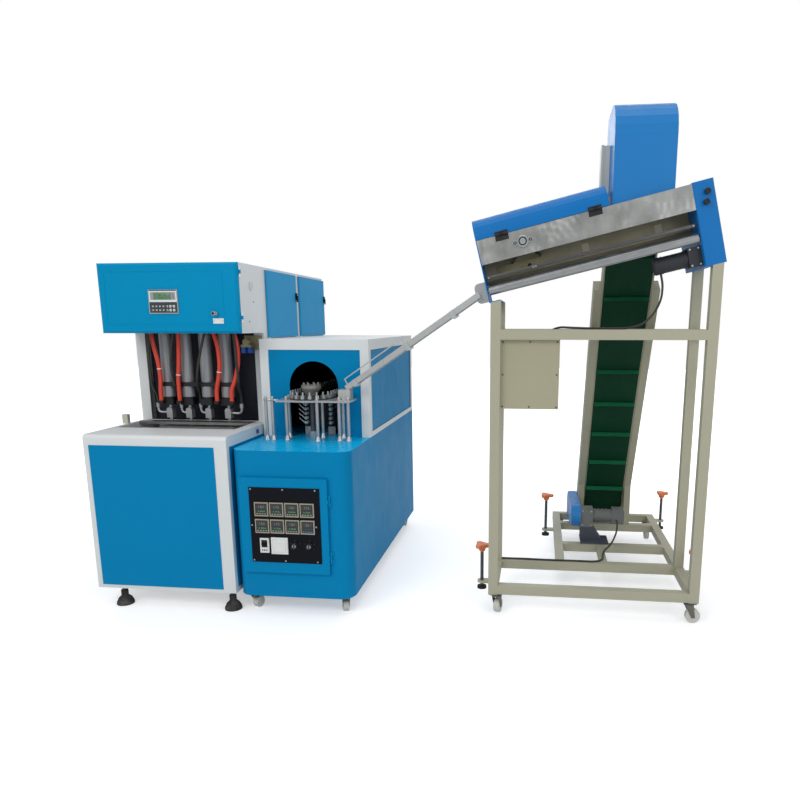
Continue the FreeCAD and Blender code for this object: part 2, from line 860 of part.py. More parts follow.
def cylinder_clamps():
    bar = box(first_station_x - clamp_overhang, last_station_x + clamp_overhang,
              station_y - clamp_half_depth, station_y + clamp_half_depth, clamp_bottom_z, clamp_top_z)
    beam = box(tower_wall, tower_right, station_y - beam_half_depth, station_y + beam_half_depth,
               barrel_top_z, barrel_top_z + beam_height)
    bar = bar.cut([rod_bore(x, clamp_bottom_z, clamp_top_z) for x in station_xs])
    parts = [bar, beam]
    caps = []
    for x in station_xs:
        cap = box(x - end_cap_half, x + end_cap_half, station_y - end_cap_half, station_y + end_cap_half,
                  cap_bottom_z, collar_bottom_z)
        cap = cap.makeChamfer(5, edges_where(cap, lambda p: True)[0:0] + [
            edge for edge in cap.Edges if near(abs(edge.tangentAt(edge.FirstParameter).z), 1)])
        caps.append(cap.cut(rod_bore(x, cap_bottom_z, collar_bottom_z)))
    for station, offset in port_places:
        x = port_x(station, offset)
        front = station_y - end_cap_half - port_depth
        port = box(x - port_size / 2, x + port_size / 2, front, station_y - end_cap_half + 6,
                   port_top_z - port_height, port_top_z)
        caps[station] = fused([caps[station], port])
    return group(parts + caps)


def elbow(x, side, reach):
    """Blow-air elbow from a nozzle block's side up to its hose socket."""
    level = nozzle_bottom_z + nozzle_height * 0.5
    start = V(x + side * nozzle_width / 2, station_y, level)
    corner = V(start.x + side * reach, station_y, level)
    end = V(corner.x, station_y, level + elbow_rise)
    bend_start = V(corner.x - side * elbow_bend, station_y, level)
    bend_end = V(corner.x, station_y, level + elbow_bend)
    slack = elbow_bend * (1 - math.sqrt(0.5))
    middle = V(corner.x - side * slack, station_y, level + slack)
    path = Part.Wire([Part.LineSegment(start, bend_start).toShape(),
                      Part.Arc(bend_start, middle, bend_end).toShape(),
                      Part.LineSegment(bend_end, end).toShape()])
    section = Part.Wire([Part.makeCircle(elbow_radius, start, V(side, 0, 0))])
    pipe = path.makePipeShell([section], True, False)
    socket = rod(V(end.x, end.y, end.z - elbow_socket_length), end, elbow_socket_radius)
    return fused([pipe, socket]), end


elbow_sides = (-1, -1, -1, 1)
elbow_reaches = (outer_elbow_reach, inner_elbow_reach, inner_elbow_reach, outer_elbow_reach)


def nozzle_blocks():
    blocks = []
    for x, side, reach in zip(station_xs, elbow_sides, elbow_reaches):
        block = box(x - nozzle_width / 2, x + nozzle_width / 2, station_y - nozzle_depth / 2,
                    station_y + nozzle_depth / 2, nozzle_bottom_z, nozzle_top_z)
        block = block.makeFillet(14, [edge for edge in block.Edges
                                      if all(near(v.Point.z, nozzle_top_z) for v in edge.Vertexes)
                                      and near(abs(edge.tangentAt(edge.FirstParameter).y), 1)])
        neck = rod(V(x, station_y, nozzle_top_z - 2), V(x, station_y, cap_bottom_z), nozzle_neck_radius)
        tip = rod(V(x, station_y, nozzle_bottom_z - nozzle_tip_length),
                  V(x, station_y, nozzle_bottom_z), nozzle_neck_radius)
        pipe, end = elbow(x, side, reach)
        body = fused([block, neck, tip, pipe])
        blocks.append(body.cut(rod_bore(x, nozzle_bottom_z - nozzle_tip_length, cap_bottom_z)))
    return group(blocks)


def stretch_rod(x):
    tip_z = nozzle_bottom_z - nozzle_tip_length - rod_protrusion
    shank = rod(V(x, station_y, tip_z + rod_nose), V(x, station_y, tip_z + rod_length), rod_radius)
    nose = Part.makeCone(rod_radius * 0.5, rod_radius, rod_nose, V(x, station_y, tip_z))
    return fused([shank, nose])


def air_manifold():
    return box(tower_wall, tower_right, manifold_y - manifold_half, manifold_y + manifold_half,
               manifold_bottom_z, manifold_bottom_z + manifold_height)


def red_hoses():
    """Supply hoses from the manifold to the cylinders' ports; each row of shifts is one hose."""
    shapes = []
    port_y = station_y - end_cap_half - port_depth / 2
    drop = manifold_bottom_z - port_top_z
    levels = (0, 60, 150, 250, drop - 126, drop - 62, drop)
    depths = (red_hose_y, red_hose_y, red_hose_y + 3, red_hose_y + 9, port_y - 6, port_y, port_y)
    side_shifts = ((-22, -22, -12, 6, 10, 0, 0), (30, 30, 27, 16, 3, 0, 0),
                   (10, 10, 34, 36, 20, 0, 0), (44, 44, 62, 56, 32, 0, 0))
    for index, (station, offset) in enumerate(port_places):
        end_x = port_x(station, offset)
        points = [V(end_x + shift, y, manifold_bottom_z - level)
                  for shift, y, level in zip(side_shifts[index], depths, levels)]
        shapes.append(hose(points, red_hose_radius, "red hose " + str(index + 1)))
    return group(shapes)


def black_hoses():
    """Blow-air hoses from the manifold, round the clamp bar, to the nozzles' elbows."""
    shapes = []
    side_shifts = ((28, 28, 26, 18, 14, 5, 0, 0), (38, 38, 16, 2, 0, -1, 0, 0),
                   (106, 106, 76, 48, 30, 9, 0, 0), (18, 18, 26, 26, 28, 9, 0, 0))
    for index, (x, side, reach) in enumerate(zip(station_xs, elbow_sides, elbow_reaches)):
        pipe, end = elbow(x, side, reach)
        levels = (manifold_bottom_z, manifold_bottom_z - 60, manifold_bottom_z - 150, manifold_bottom_z - 250,
                  end.z + 164, end.z + 100, end.z + 55, end.z)
        depths = (black_hose_y, black_hose_y, black_hose_y + 2, black_hose_y + 4, black_hose_y + 17,
                  end.y - 48, end.y, end.y)
        points = [V(end.x + shift, y, level)
                  for shift, y, level in zip(side_shifts[index], depths, levels)]
        shapes.append(hose(points, black_hose_radius, "black hose " + str(index + 1)))
    return group(shapes)


def valves_and_sensors():
    back_y = tower_front_y - 8
    front_y = tower_front_y - valve_reach
    plate = box(valve_x - valve_half_width, blower_width - 10, back_y, tower_front_y,
                valve_z - coil_height / 2, valve_z + valve_plate_rise)
    block = box(valve_x - valve_half_width, valve_x + valve_half_width, front_y, back_y,
                valve_z, valve_z + valve_block_height)
    dome_z = valve_z + valve_block_height + valve_dome_radius * 0.7
    dome = rod(V(valve_x, front_y, dome_z), V(valve_x, back_y, dome_z), valve_dome_radius)
    coils = [box(x - coil_half, x + coil_half, front_y + 6, front_y + 42, valve_z - coil_height, valve_z)
             for x in (valve_x - valve_half_width + coil_half, valve_x + valve_half_width - coil_half)]
    sensor = box(sensor_left, sensor_left + sensor_width, sensor_front_y, sensor_front_y + 26,
                 deck_z, deck_z + sensor_height)
    counterpart = box(blower_width, blower_width + 7, 386, 406, deck_z - 42, deck_z - 20)
    return group([air_manifold(), fused([plate, block, dome] + coils), sensor, counterpart])


# ---------------------------------------------------------------- moulds
mould_left = first_station_x - mould_side_margin
mould_right = last_station_x + mould_side_margin
tie_xs = (mould_left - platen_overhang + tie_bar_inset, mould_right + platen_overhang - tie_bar_inset)
platen_low = mould_bottom_z
platen_high = mould_top_z


def mould_half(way):
    """One mould half with its platen; way is -1 for the front half, 1 for the back half."""
    def span(near_y, far_y):
        return tuple(sorted((station_y + way * near_y, station_y + way * far_y)))

    face = fit_gap / 2
    y0, y1 = span(face, mould_half_depth)
    block = box(mould_left, mould_right, y0, y1, mould_bottom_z, mould_top_z)
    p0, p1 = span(mould_half_depth, mould_half_depth + platen_thickness)
    platen = box(tie_xs[0] - tie_bar_inset + 8, tie_xs[1] + tie_bar_inset - 8, p0, p1, platen_low, platen_high)
    cavity = turned_profile([(0, cavity_floor), (cavity_radius, cavity_floor),
                             (cavity_radius, cavity_body_top), (cavity_neck_radius, cavity_neck_start),
                             (cavity_neck_radius, mould_top_z - mould_bottom_z + 1),
                             (0, mould_top_z - mould_bottom_z + 1)])
    cuts = [moved(cavity, x, station_y, mould_bottom_z) for x in station_xs]
    for x in tie_xs:
        for z in tie_bar_heights:
            cuts.append(rod(V(x, p0, z), V(x, p1, z), tie_bar_radius + pin_clearance))
    return fused([block, platen]).cut(cuts)


def mould_bed():
    rail = box(bay_left_rim, bay_right, station_y - neck_rail_half_depth, station_y + neck_rail_half_depth,
               neck_rail_top_z - neck_rail_thickness, neck_rail_top_z)
    rail = rail.cut([rod(V(x, station_y, neck_rail_top_z - neck_rail_thickness),
                         V(x, station_y, neck_rail_top_z), neck_bore_radius) for x in station_xs])
    bars = [rod(V(x, bay_front_y, z), V(x, bay_back_y, z), tie_bar_radius)
            for x in tie_xs for z in tie_bar_heights]
    return group([rail] + bars)


nodes["blower_cabinet"] = blower_cabinet()
nodes["blower_tower"] = blower_tower()
nodes["head_shell"] = head_shell()
nodes["blower_panels"] = blower_panels()
nodes["control_door"] = control_door()
nodes["operator_panel"] = operator_panel()
nodes["door_lock"] = door_lock()
nodes["side_door_front"] = side_door(*side_door_edges[0])
nodes["side_door_rear"] = side_door(*side_door_edges[1])
nodes["stretch_cylinders"] = group(stretch_cylinders().Solids + cylinder_clamps().Solids)
nodes["nozzle_blocks"] = nozzle_blocks()
for index, x in enumerate(station_xs):
    nodes["stretch_rod_" + str(index + 1)] = stretch_rod(x)
nodes["red_hoses"] = red_hoses()
nodes["black_hoses"] = black_hoses()
nodes["valves_and_sensors"] = valves_and_sensors()
nodes["mould_bed"] = mould_bed()
nodes["mould_front"] = mould_half(-1)
nodes["mould_back"] = mould_half(1)


# ================================================================ heater
heater_right = heater_left + heater_width
arch_x = heater_left + arch_centre
door_left = heater_left + panel_left
door_right = door_left + panel_width
door_top_z = panel_bottom_z + panel_height
door_face_y = -panel_depth
plate_left = door_left + plate_inset
plate_right = door_right - plate_inset + 13
plate_low = panel_bottom_z + plate_bottom_inset
plate_high = door_top_z - plate_top_inset
plate_face_y = door_face_y - plate_thickness
guide_top_z = guide_z + guide_thickness
guide_outer = arch_half_width - arch_clearance - track_radius


def panel_hinges():
    stand_off = corner_hinge_gap + knuckle_radius
    return [butt_hinge(V(door_right + stand_off, -stand_off, height), V(-1, 0, 0), V(0, -1, 0), hinge_length, True)
            for height in panel_hinge_heights]


def heater_cabinet():
    body = box(heater_left, heater_right, 0, heater_depth, heater_bottom_z, table_z)
    body = body.makeFillet(heater_corner_radius,
                           [edge for edge in body.Edges if near(edge.Vertexes[0].Point.y, 0)
                            and near(edge.Vertexes[-1].Point.y, 0)
                            and near(abs(edge.tangentAt(edge.FirstParameter).z), 1)])
    cavity = box(door_left + electrics_margin, door_right - electrics_margin, 0, electrics_depth,
                 panel_bottom_z + electrics_margin, door_top_z - electrics_margin)
    cabinet = fused([body.cut(cavity)] + [fixed for fixed, moving in panel_hinges()])
    spacers = [box(blower_width + sheet, heater_left, y, y + spacer_size, spacer_z, spacer_z + spacer_size)
               for y in spacer_ys]
    return group([cabinet] + spacers)


def panel_door():
    leaf = box(door_left, door_right, door_face_y, -fit_gap, panel_bottom_z, door_top_z)
    pan = box(door_left + door_skin, door_right - door_skin, door_face_y + door_skin, -fit_gap,
              panel_bottom_z + door_skin, door_top_z - door_skin)
    window = box(plate_left + 12, plate_right - 12, door_face_y, -fit_gap, plate_low + 12, plate_high - 12)
    return fused([leaf.cut([pan, window])] + [moving for fixed, moving in panel_hinges()])


def instrument_places():
    return [(plate_left + instrument_left + column * instrument_pitch,
             instrument_bottom_z + row * instrument_row_pitch)
            for row in range(instrument_rows) for column in range(instrument_columns)]


def control_plate():
    plate = box(plate_left, plate_right, plate_face_y, door_face_y, plate_low, plate_high)
    cuts = []
    for x, z in instrument_places():
        cuts.append(box(x + instrument_lip, x + instrument_size - instrument_lip, plate_face_y, door_face_y,
                        z + instrument_lip, z + instrument_size - instrument_lip))
    for x in knob_xs:
        cuts.append(rod(V(plate_left + x, plate_face_y, knob_z), V(plate_left + x, door_face_y, knob_z),
                        knob_shaft_radius + pin_clearance))
    breaker = box(plate_left + breaker_left, plate_left + breaker_left + breaker_width,
                  plate_face_y - 9, plate_face_y, breaker_bottom_z, breaker_bottom_z + breaker_height)
    toggle = box(plate_left + breaker_left + 14, plate_left + breaker_left + breaker_width - 14,
                 plate_face_y - 18, plate_face_y - 9, breaker_bottom_z + 40, breaker_bottom_z + 54)
    socket = box(plate_left + socket_left, plate_left + socket_left + socket_size,
                 plate_face_y - 5, plate_face_y, socket_bottom_z, socket_bottom_z + socket_size)
    return group([plate.cut(cuts), fused([breaker, toggle]), socket] + temperature_controllers())


def temperature_controllers():
    units = []
    back_gap = instrument_lip + fit_gap
    for x, z in instrument_places():
        bezel = box(x, x + instrument_size, plate_face_y - instrument_bezel, plate_face_y,
                    z, z + instrument_size)
        body = box(x + back_gap, x + instrument_size - back_gap, plate_face_y,
                   plate_face_y + instrument_body, z + back_gap, z + instrument_size - back_gap)
        display = box(x + 9, x + instrument_size - 9, plate_face_y - instrument_bezel,
                      plate_face_y - instrument_bezel + display_sink, z + 30, z + instrument_size - 9)
        units.append(fused([bezel, body]).cut(display))
    return units


def selector_knob(x):
    centre = plate_left + x
    face_y = plate_face_y - float_gap
    skirt = rod(V(centre, face_y - 6, knob_z), V(centre, face_y, knob_z), knob_radius)
    grip = box(centre - 4, centre + 4, face_y - knob_length, face_y - 6,
               knob_z - knob_radius + 2, knob_z + knob_radius - 2)
    shaft = rod(V(centre, face_y, knob_z), V(centre, door_face_y + 8, knob_z), knob_shaft_radius)
    return fused([skirt, grip, shaft])


def oven_frame():
    rear_y = heater_depth
    side_y0 = oven_front_y + oven_post
    side_y1 = rear_y - oven_post
    roof_z = oven_top_z - roof_sheet
    top_low = oven_top_z - oven_top_rail
    inner_left = heater_left + oven_post
    inner_right = heater_right - oven_post
    bars = []
    for x0, x1 in ((heater_left, inner_left), (inner_right, heater_right)):
        for y0, y1 in ((oven_front_y, side_y0), (side_y1, rear_y)):
            bars.append(box(x0, x1, y0, y1, table_z, roof_z))
        bars.append(box(x0, x1, side_y0, side_y1, table_z, table_z + oven_bottom_rail))
        bars.append(box(x0, x1, side_y0, side_y1, top_low, roof_z))
    for y0, y1 in ((oven_front_y, side_y0), (side_y1, rear_y)):
        bars.append(box(inner_left, inner_right, y0, y1, top_low, roof_z))
    bars.append(box(inner_left, inner_right, side_y1, rear_y, table_z, table_z + oven_bottom_rail))
    bars.append(box(heater_left, heater_right, oven_front_y, rear_y, roof_z, oven_top_z))
    return group(bars)


def oven_front():
    """Sheet with the arch that the preform chain comes out of."""
    inner_left = heater_left + oven_post
    inner_right = heater_right - oven_post
    high = oven_top_z - oven_top_rail
    front_y = oven_front_y + oven_inset
    front = box(inner_left, inner_right, front_y, front_y + trough_sheet, table_z, high)
    front = front.cut([box(arch_x - arch_half_width, arch_x + arch_half_width, front_y,
                           front_y + trough_sheet, table_z, arch_spring_z),
                       rod(V(arch_x, front_y, arch_spring_z), V(arch_x, front_y + trough_sheet, arch_spring_z),
                           arch_half_width)])
    return front


def oven_panels():
    inner_left = heater_left + oven_post
    inner_right = heater_right - oven_post
    high = oven_top_z - oven_top_rail
    low = table_z + oven_bottom_rail
    y0 = oven_front_y + oven_post
    y1 = heater_depth - oven_post
    panels = []
    for x in (heater_left + oven_inset, heater_right - oven_inset - trough_sheet):
        panels.append(box(x, x + trough_sheet, y0, y1, low, high))
    panels.append(box(inner_left, inner_right, heater_depth - oven_inset - trough_sheet,
                      heater_depth - oven_inset, low, high))
    return group(panels)


def post_on_table(x, y):
    foot = Part.makeCone(guide_post_foot, guide_post_radius, guide_post_foot_height, V(x, y, table_z))
    shank = rod(V(x, y, table_z + guide_post_foot_height), V(x, y, guide_z), guide_post_radius)
    return fused([foot, shank])


def guide_plate():
    outer = track_radius + guide_outer
    inner = track_radius - guide_inner
    plate = stadium(front_turn_y, rear_turn_y, outer, arch_x, guide_z, guide_top_z)
    front_edge = front_turn_y - outer
    apron = box(arch_x - outer - 20, arch_x + outer + guide_apron, front_edge + 10, oven_front_y - 8,
                guide_z, guide_top_z)
    plate = fused([plate, apron])
    return plate.cut(stadium(front_turn_y, rear_turn_y, inner, arch_x, guide_z, guide_top_z))


def guide_supports():
    """Posts on the table, the round rail to the left of the plate, and the two wheels' bearings."""
    outer = track_radius + guide_outer
    rail_y = guide_posts[0][1]
    rail = rod(V(heater_left + rail_end, rail_y, guide_z + rail_radius),
               V(arch_x - outer - 20, rail_y, guide_z + rail_radius), rail_radius)
    parts = [rail]
    parts += [post_on_table(heater_left + x, y) for x, y in guide_posts]
    for y in inner_post_ys:
        for side in (-1, 1):
            parts.append(post_on_table(arch_x + side * (outer - guide_post_radius - 2), y))
    for y in (front_turn_y, rear_turn_y):
        bearing = rod(V(arch_x, y, table_z), V(arch_x, y, table_z + bearing_height), bearing_radius)
        parts.append(bearing.cut(rod(V(arch_x, y, table_z), V(arch_x, y, table_z + bearing_height),
                                     wheel_shaft_radius + pin_clearance)))
    return group(parts)


def chain_band():
    outer = stadium(front_turn_y, rear_turn_y, track_radius + chain_half_width, arch_x,
                    guide_top_z, guide_top_z + chain_thickness)
    return outer.cut(stadium(front_turn_y, rear_turn_y, track_radius - chain_half_width, arch_x,
                             guide_top_z, guide_top_z + chain_thickness))


def preform_holders():
    """Holders with their pins, spaced evenly along the whole loop of the chain."""
    straight = rear_turn_y - front_turn_y
    half_turn = math.pi * track_radius
    pitch = 2 * (straight + half_turn) / holder_count
    low = guide_top_z + chain_thickness
    holders = []
    half = holder_size / 2
    pattern = fused([box(-half, half, -half, half, 0, holder_height),
                     rod(V(0, 0, holder_height), V(0, 0, holder_height + holder_pin_height),
                         holder_pin_radius)])
    for index in range(holder_count):
        travel = index * pitch
        if travel < straight:
            x, y, turn = arch_x + track_radius, front_turn_y + travel, 0.0
        elif travel < straight + half_turn:
            angle = (travel - straight) / track_radius
            x = arch_x + track_radius * math.cos(angle)
            y = rear_turn_y + track_radius * math.sin(angle)
            turn = math.degrees(angle)
        elif travel < 2 * straight + half_turn:
            x, y, turn = arch_x - track_radius, rear_turn_y - (travel - straight - half_turn), 0.0
        else:
            angle = math.pi + (travel - 2 * straight - half_turn) / track_radius
            x = arch_x + track_radius * math.cos(angle)
            y = front_turn_y + track_radius * math.sin(angle)
            turn = math.degrees(angle)
        holder = turned_about(pattern, V(0, 0, 0), V(0, 0, 1), turn)
        holders.append(moved(holder, x, y, low))
    return group(holders)


def oven_wheel(y, hub):
    disc_low = guide_top_z + wheel_gap
    disc_high = disc_low + wheel_thickness
    rim = track_radius - chain_half_width - float_gap - holder_size / 2 + chain_half_width
    parts = [rod(V(arch_x, y, disc_low), V(arch_x, y, disc_high), rim),
             rod(V(arch_x, y, table_z + 4), V(arch_x, y, disc_low), wheel_shaft_radius)]
    if hub:
        hub_profile = [(0, 0), (hub_low_radius, 0), (hub_low_radius, hub_foot_height),
                       (hub_high_radius, hub_height - hub_rim_height), (hub_high_radius, hub_height), (0, hub_height)]
        parts.append(moved(turned_profile(hub_profile), arch_x, y, disc_high))
        for index in range(hub_bolts):
            angle = 2 * math.pi * index / hub_bolts
            bolt = V(arch_x + (hub_high_radius - 12) * math.cos(angle),
                     y + (hub_high_radius - 12) * math.sin(angle), disc_high + hub_height)
            parts.append(rod(bolt, bolt + V(0, 0, hub_bolt_height), hub_bolt_radius))
    return fused(parts)


def lamp_banks():
    parts = []
    top_z = lamp_lowest_z + (lamps_per_side - 1) * lamp_pitch + 18
    low_z = table_z
    for side in (-1, 1):
        near_x = arch_x + side * reflector_offset
        far_x = arch_x + side * (reflector_offset + reflector_flange)
        x0, x1 = sorted((near_x, near_x - side * reflector_thickness))
        back = box(x0, x1, lamp_front_y, lamp_rear_y, low_z, top_z)
        f0, f1 = sorted((near_x, far_x))
        flanges = [box(f0, f1, y, y + reflector_thickness, low_z, top_z)
                   for y in (lamp_front_y, lamp_rear_y - reflector_thickness)]
        parts.append(fused([back] + flanges))
        x = arch_x + side * lamp_offset
        for index in range(lamps_per_side):
            z = lamp_lowest_z + index * lamp_pitch
            parts.append(rod(V(x, lamp_front_y + reflector_thickness, z),
                             V(x, lamp_rear_y - reflector_thickness, z), lamp_radius))
            parts.append(rod(V(x, lamp_front_y - lamp_end_length, z), V(x, lamp_front_y, z), lamp_end_radius))
    return group(parts)


nodes["heater_cabinet"] = heater_cabinet()
nodes["panel_door"] = panel_door()
nodes["control_plate"] = control_plate()
nodes["selector_knob_left"] = selector_knob(knob_xs[0])
nodes["selector_knob_right"] = selector_knob(knob_xs[1])
nodes["oven_frame"] = oven_frame()
nodes["oven_front"] = oven_front()
nodes["oven_panels"] = oven_panels()
nodes["guide_plate"] = guide_plate()
nodes["guide_supports"] = guide_supports()
nodes["chain_band"] = chain_band()
nodes["preform_holders"] = preform_holders()
nodes["oven_wheel_front"] = oven_wheel(front_turn_y, True)
nodes["oven_wheel_rear"] = oven_wheel(rear_turn_y, False)
nodes["lamp_banks"] = lamp_banks()


# ================================================================ loader
tilt = math.radians(tilt_degrees)
slope = math.tan(tilt)
loader_right = loader_left + loader_width
loader_rear_y = loader_front_y + loader_depth
frame_low = frame_bottom_z + 3
frame_high = frame_low + tube


def tilted(shape):
    """From the unscrambler's own axes (s, y, n) to the line's axes."""
    copy = turned_about(shape, V(0, 0, 0), V(0, -1, 0), tilt_degrees)
    copy.translate(V(unscrambler_x, 0, unscrambler_z))
    return copy


def incline_z(x, n):
    """Height at x of the plane that lies n above the unscrambler's base."""
    return unscrambler_z + (x - unscrambler_x) * slope + n / math.cos(tilt)


def level_s(x, n):
    """Distance along the incline of the point that lies at x and n above its base."""
    return (x - unscrambler_x + n * math.sin(tilt)) / math.cos(tilt)


def mitred_post(x0, y0, n):
    x1 = x0 + tube
    return prism_y([(x0, frame_bottom_z), (x1, frame_bottom_z), (x1, incline_z(x1, n)), (x0, incline_z(x0, n))],
                   y0, y0 + tube)


def loader_frame():
    left_in = loader_left + tube
    right_in = loader_right - tube
    front_in = loader_front_y + tube
    rear_in = loader_rear_y - tube
    parts = []
    for y in (loader_front_y, rear_in):
        parts.append(mitred_post(loader_left, y, 0))
        parts.append(mitred_post(right_in, y, end_box_low))
        for z in (frame_low, mid_rail_z):
            parts.append(box(left_in, right_in, y, y + tube, z, z + tube))
    for x in (loader_left, right_in):
        for z in (frame_low, mid_rail_z):
            parts.append(box(x, x + tube, front_in, rear_in, z, z + tube))
    base_right = right_in
    base_left_in = base_left_x + tube
    parts.append(box(base_left_x, base_left_in, loader_rear_y, base_rear_y, frame_low, frame_high))
    parts.append(box(base_right, base_right + tube, loader_rear_y, base_rear_y, frame_low, frame_high))
    for y in cross_rail_ys + (base_rear_y - tube,):
        parts.append(box(base_left_in, base_right, y, y + tube, frame_low, frame_high))
    parts.append(box(cable_bar_x, cable_bar_x + cable_bar_width, loader_rear_y, cross_rail_ys[0],
                     frame_high - cable_bar_width, frame_high))
    parts.append(box(left_in, left_in + terminal_plate_width, front_in - 20,
                     front_in - 20 + terminal_plate_thickness, mid_rail_z - terminal_plate_height, mid_rail_z))
    for name, side, y, reach in zip(jack_names, jack_sides, jack_ys, jack_reaches):
        parts.append(jack_bracket(name, side, y, reach))
    return group(parts)


def jack_face_x(name, side):
    if name == "jack_rear_left":
        return base_left_x
    return loader_left if side < 0 else loader_right


def jack_bracket(name, side, y, reach):
    face = jack_face_x(name, side)
    x = face + side * reach
    x0, x1 = sorted((face, x))
    top = frame_high
    low = top - jack_bracket_thickness
    arm = box(x0, x1, y - jack_bracket_half, y + jack_bracket_half, low, top)
    eye = rod(V(x, y, low), V(x, y, top), jack_bracket_half)
    bore = rod(V(x, y, low), V(x, y, top), jack_screw_radius + pin_clearance)
    return fused([arm, eye]).cut(bore)


def jack(name, side, y, reach, knob_z_level, pad_z):
    x = jack_face_x(name, side) + side * reach
    pad = rod(V(x, y, pad_z), V(x, y, pad_z + jack_pad_height), jack_pad_radius)
    screw = rod(V(x, y, pad_z + jack_pad_height), V(x, y, knob_z_level), jack_screw_radius)
    cone = Part.makeCone(jack_screw_radius, jack_knob_radius * 0.55, jack_knob_height,
                         V(x, y, knob_z_level - jack_knob_height))
    lobes = [Part.makeCylinder(jack_knob_radius * 0.45, jack_knob_height * 0.8,
                               V(x + jack_knob_radius * 0.55 * math.cos(2 * math.pi * k / jack_lobes),
                                 y + jack_knob_radius * 0.55 * math.sin(2 * math.pi * k / jack_lobes),
                                 knob_z_level))
             for k in range(jack_lobes)]
    return fused([pad, screw, cone] + lobes)


# ---------------------------------------------------------------- unscrambler
trough_end = end_box_start
side_inner_y = trough_front_y + trough_sheet


def cover_outline(grow):
    """(y, n) outline of the rounded hood, moved out by grow."""
    front = trough_front_y - grow
    top = cover_top + grow
    rear = body_rear_y + grow
    radius = cover_radius + grow
    low = side_plate_high + cover_gap
    if grow < 0:
        low -= 1
    points = [(front, low)]
    for step in range(0, 7):
        angle = math.pi - step * math.pi / 12
        points.append((front + radius + radius * math.cos(angle), top - radius + radius * math.sin(angle)))
    return points + [(rear, top), (rear, low)]


def unscrambler_body():
    front = trough_front_y
    left = box(0, left_plate, front, body_rear_y, 0, side_plate_high)
    foot = box(left_plate, foot_flange_length, front - 4, loader_rear_y, 0, foot_flange)
    rear_foot = box(0, left_plate, body_rear_y, loader_rear_y, 0, foot_flange)
    journal_bores = []
    for y, n in ((front_roller_y, front_roller_n), (rear_roller_y, rear_roller_n)):
        journal_bores.append(rod(V(0, y, n), V(left_plate, y, n), journal_radius + pin_clearance))
        journal_bores.append(rod(V(end_box_start, y, n), V(end_box_start + journal_depth + 2, y, n),
                                 journal_radius + pin_clearance))
    left = fused([left, foot, rear_foot]).cut(journal_bores)
    end_box = box(end_box_start, body_length, front - 4, loader_rear_y, end_box_low, end_box_high)
    end_box = end_box.makeFillet(6, [edge for edge in end_box.Edges
                                     if near(abs(edge.tangentAt(edge.FirstParameter).z), 1)
                                     and near(edge.Vertexes[0].Point.y, front - 4)])
    end_box = end_box.cut(journal_bores)
    back = box(left_plate, end_box_start, trough_back_y, trough_back_y + trough_sheet,
               trough_back_low, side_plate_high - trough_sheet)
    lip = prism_x([(trough_back_y, trough_back_low), (trough_back_y + trough_sheet, trough_back_low),
                   (rear_roller_y + roller_radius + 12, trough_back_low - 22),
                   (rear_roller_y + roller_radius + 9, trough_back_low - 22)], left_plate, end_box_start)
    back = fused([back, lip])
    back = back.cut(rod(V(paddle_s, trough_back_y, paddle_n), V(paddle_s, trough_back_y + trough_sheet, paddle_n),
                        paddle_shaft_radius + pin_clearance))
    brackets = [box(s - bracket_size / 2, s + bracket_size / 2, trough_back_y - bracket_thickness,
                    trough_back_y, side_plate_low - 4 - bracket_height, side_plate_low - 4) for s in bracket_places]
    return tilted(group([left, end_box, back] + brackets))


def side_plate():
    front = box(left_plate, end_box_start, trough_front_y, side_inner_y, side_plate_low, side_plate_high)
    flange = box(cover_length + plate_edge_gap, end_box_start, side_inner_y, trough_back_y + trough_sheet,
                 side_plate_high - trough_sheet, side_plate_high)
    throat_low = level_s(tower_left_x + throat_margin, side_plate_high)
    throat_high = level_s(tower_left_x + tower_width - throat_margin, side_plate_high)
    throat = box(throat_low, throat_high, side_inner_y + throat_front, trough_back_y - throat_rear,
                 side_plate_high - trough_sheet, side_plate_high)
    plate = fused([front, flange.cut(throat)])
    shaft_bore = rod(V(paddle_s, trough_front_y - flange_thickness, paddle_n),
                     V(paddle_s, side_inner_y, paddle_n), paddle_shaft_radius + pin_clearance)
    oval = [rod(V(paddle_s, trough_front_y - flange_thickness, paddle_n),
                V(paddle_s, trough_front_y, paddle_n), flange_disc)]
    ear_y = trough_front_y - flange_thickness * 0.7
    for way in (-1, 1):
        ear_s = paddle_s + way * flange_half
        oval.append(rod(V(ear_s, ear_y, paddle_n), V(ear_s, trough_front_y, paddle_n), flange_ear))
        oval.append(rod(V(ear_s, trough_front_y - flange_thickness - flange_bolt_rise, paddle_n),
                        V(ear_s, trough_front_y, paddle_n), flange_bolt))
    web = box(paddle_s - flange_half, paddle_s + flange_half, ear_y, trough_front_y,
              paddle_n - flange_ear, paddle_n + flange_ear)
    return tilted(fused([plate, web] + oval + [fixed for fixed, moving in cover_hinge_pairs()]).cut(shaft_bore))


def cover_hinge_pairs():
    level = side_plate_high + cover_gap / 2
    return [butt_hinge(V(s, trough_front_y - knuckle_radius, level), V(0, 0, 1), V(0, -1, 0), hinge_length)
            for s in cover_hinges]


def unscrambler_cover():
    shell = prism_x(cover_outline(0), 0, cover_length)
    inner = prism_x(cover_outline(-cover_sheet), cover_sheet, cover_length - cover_sheet)
    hood = shell.cut(inner)
    return tilted(fused([hood] + [moving for fixed, moving in cover_hinge_pairs()]))


def roller(y, n):
    body = rod(V(left_plate + roller_end_gap, y, n), V(end_box_start - roller_end_gap, y, n), roller_radius)
    shaft = rod(V(0, y, n), V(end_box_start + journal_depth, y, n), journal_radius)
    return tilted(fused([body, shaft]))


